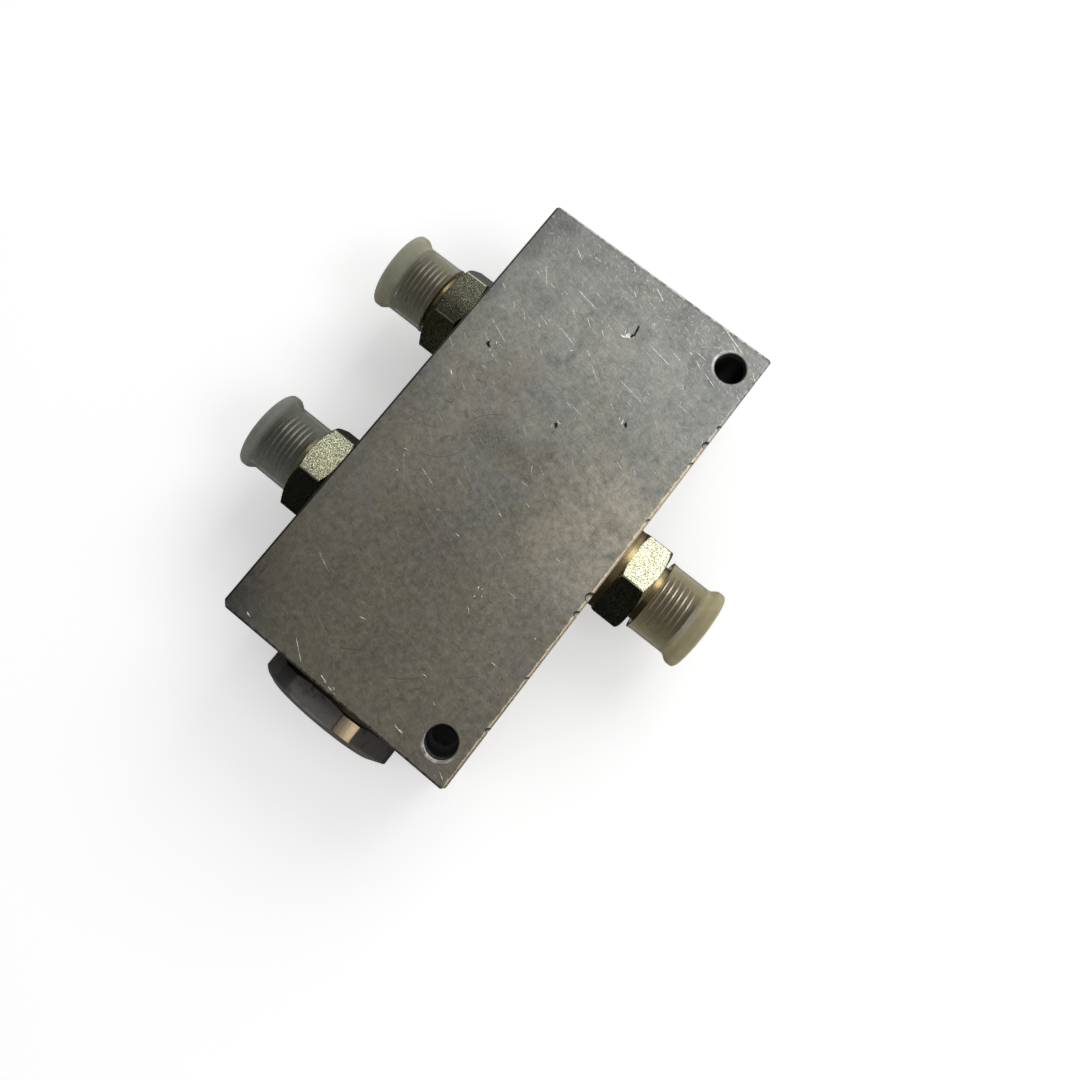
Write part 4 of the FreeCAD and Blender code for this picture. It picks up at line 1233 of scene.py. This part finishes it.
# How far in from the block's sides the floor under it stays dark.
UNDER_BLOCK = 3 * MM
# Camera fitted to the photograph: place, turn in degrees, focal length and shift on a
# 36 mm sensor.
CAMERA_PLACE = (38.295 * MM, 20.159 * MM, 265.708 * MM)
CAMERA_TURN = (13.285, -0.309, 128.662)
CAMERA_LENS = 34.032
CAMERA_SHIFT = (0.0618, -0.0986)
# Soft lamps: place, the lamp size's share along each side, and power in watts.
LAMPS = {
    "key_lamp": ((-0.47, 0.06, 0.50), (1.0, 1.0), 1.25),
    "side_lamp": ((-0.05, 0.38, 0.58), (0.8, 0.6), 0.65),
}
LAMP_TARGET = Vector((0, 0, 0.02))
# Cards round the object: two opposite corners, how grey, and where along X, in millimetres,
# a card starts and ends to fade to pale.
CARDS = {
    "overhead_card": ((-0.30, -0.70, 0.80), (0.80, 0.35, 0.80), 0.18, None),
    "card_plug_side": ((0.22, -0.40, 0.0), (0.22, 0.40, 0.30), 0.04, None),
    "card_outlet_side": ((-0.25, -0.24, 0.0), (0.22, -0.24, 0.26), 0.08, None),
    "card_inlet_side": ((-0.10, 0.28, 0.0), (0.22, 0.28, 0.13), 0.06, (60.0, -90.0)),
    "floor_card": ((-0.20, -0.24, 0.0005), (0.22, 0.40, 0.0005), 0.04, (10.0, -180.0)),
}


def soft_lamp(name, place, size, power):
    """Soft rectangular lamp that is aimed at the object."""
    lamp = bpy.data.lights.new(name, "AREA")
    lamp.shape = "RECTANGLE"
    lamp.size, lamp.size_y = size
    lamp.energy = power
    thing = new_object(name, lamp)
    thing.location = place
    thing.rotation_euler = (LAMP_TARGET - Vector(place)).to_track_quat("-Z", "Y").to_euler()


def new_sheet(name, low, high, material):
    """Level or upright rectangle between two opposite corners."""
    (x0, y0, z0), (x1, y1, z1) = low, high
    corners = [(x0, y0, z0), (x1, y1, z0), (x1, y1, z1), (x0, y0, z1)]
    if z0 == z1:
        corners[1], corners[3] = (x1, y0, z0), (x0, y1, z0)
    mesh = bpy.data.meshes.new(name)
    mesh.from_pydata(corners, [], [(0, 1, 2, 3)])
    mesh.materials.append(material)
    return new_object(name, mesh)


def reflected_card(name, low, high, grey, fade):
    """Card that only reflections see, as set round shiny metal; it may fade to pale along X."""
    tone = (grey, grey, grey)
    finish = Finish(name + "_felt", Base_Color=(0, 0, 0), Roughness=1.0, Specular_IOR_Level=0.0,
                    Emission_Color=tone, Emission_Strength=1.0)
    if fade:
        pale = finish.axes()[0].between(*fade)
        finish.set(Emission_Color=finish.mix(pale, tone, (0.85, 0.85, 0.85)))
    card = new_sheet(name, low, high, finish.material)
    card.visible_camera = False
    card.visible_diffuse = False
    card.visible_shadow = False
    card.visible_transmission = False


def camera_like_rays(tree):
    """1 for what the camera sees, also in metal and through plastic."""
    camera, glossy, through = tree.add("ShaderNodeLightPath", output=(
        "Is Camera Ray", "Is Glossy Ray", "Is Transmission Ray"))
    return camera.highest(glossy).highest(through)


class FLOWVALVE_OT_stage(bpy.types.Operator):
    """Pale floor, soft light and the camera at the photograph's angle"""

    bl_idname = "flowvalve.stage"
    bl_label = "Stage"

    def execute(self, context):
        settings = context.scene.flowvalve_stage
        scene = context.scene
        pale = Finish("floor_pale", Base_Color=settings.floor_tone, Roughness=0.9,
                      Specular_IOR_Level=0.1, Emission_Color=(1, 1, 1))
        x, y, _ = pale.axes()
        reach = [(side - UNDER_BLOCK) / MM for side in BLOCK_HIGH[:2]]
        covered = abs(x).between(reach[0] + 1, reach[0]) * abs(y).between(reach[1] + 1, reach[1])
        lift = camera_like_rays(pale) * (1 - covered)
        pale.set(Emission_Strength=lift * settings.floor_lift)
        half = settings.floor_size / 2
        floor = new_sheet("floor", (-half, -half, 0), (half, half, 0), pale.material)

        world = bpy.data.worlds.new("soft_sky")
        world.use_nodes = True
        scene.world = world
        tree = Tree(world.node_tree.nodes, world.node_tree.links)
        seen = camera_like_rays(tree)
        sky = world.node_tree.nodes["Background"]
        tree.put(sky.inputs["Color"], (1.0, 1.0, 1.0))
        tree.put(sky.inputs["Strength"], settings.sky_strength + seen * (1 - settings.sky_strength))

        for name, (place, shares, power) in LAMPS.items():
            soft_lamp(name, place, [settings.lamp_size * share for share in shares], power)
        for name, card in CARDS.items():
            reflected_card(name, *card)

        camera = bpy.data.cameras.new("camera")
        camera.lens = CAMERA_LENS
        camera.sensor_width = 36.0
        camera.shift_x, camera.shift_y = CAMERA_SHIFT
        camera.clip_start = 0.01
        eye = new_object("camera", camera)
        eye.location = CAMERA_PLACE
        eye.rotation_euler = [math.radians(angle) for angle in CAMERA_TURN]
        scene.camera = eye
        scene.view_settings.view_transform = "Standard"
        return {"FINISHED"}


class FLOWVALVE_PT_panel(bpy.types.Panel):
    """Lists the pieces and the stage"""

    bl_idname = "FLOWVALVE_PT_panel"
    bl_label = "Flow divider"
    bl_space_type = "VIEW_3D"
    bl_region_type = "UI"
    bl_category = "Flow divider"

    def draw(self, context):
        for operator in OPERATORS:
            self.layout.operator(operator.bl_idname)
        for name, group in GROUPS.items():
            box = self.layout.box()
            box.label(text=name)
            settings = getattr(context.scene, "flowvalve_" + name)
            for field in group.__annotations__:
                box.prop(settings, field)


OPERATORS = (
    FLOWVALVE_OT_stage,
    FLOWVALVE_OT_block,
    FLOWVALVE_OT_adapters,
    FLOWVALVE_OT_caps,
    FLOWVALVE_OT_plug,
    FLOWVALVE_OT_seals,
    FLOWVALVE_OT_spool_set,
)


def register():
    for group in GROUPS.values():
        bpy.utils.register_class(group)
    for name, group in GROUPS.items():
        setattr(bpy.types.Scene, "flowvalve_" + name, PointerProperty(type=group))
    for operator in OPERATORS:
        bpy.utils.register_class(operator)
    bpy.utils.register_class(FLOWVALVE_PT_panel)


def unregister():
    bpy.utils.unregister_class(FLOWVALVE_PT_panel)
    for operator in reversed(OPERATORS):
        bpy.utils.unregister_class(operator)
    for name, group in reversed(GROUPS.items()):
        delattr(bpy.types.Scene, "flowvalve_" + name)
        bpy.utils.unregister_class(group)


def main():
    register()
    for operator in OPERATORS:
        group, name = operator.bl_idname.split(".")
        result = getattr(getattr(bpy.ops, group), name)()
        if result != {"FINISHED"}:
            raise RuntimeError(f"{operator.bl_idname} did not finish")


if __name__ == "__main__":
    main()
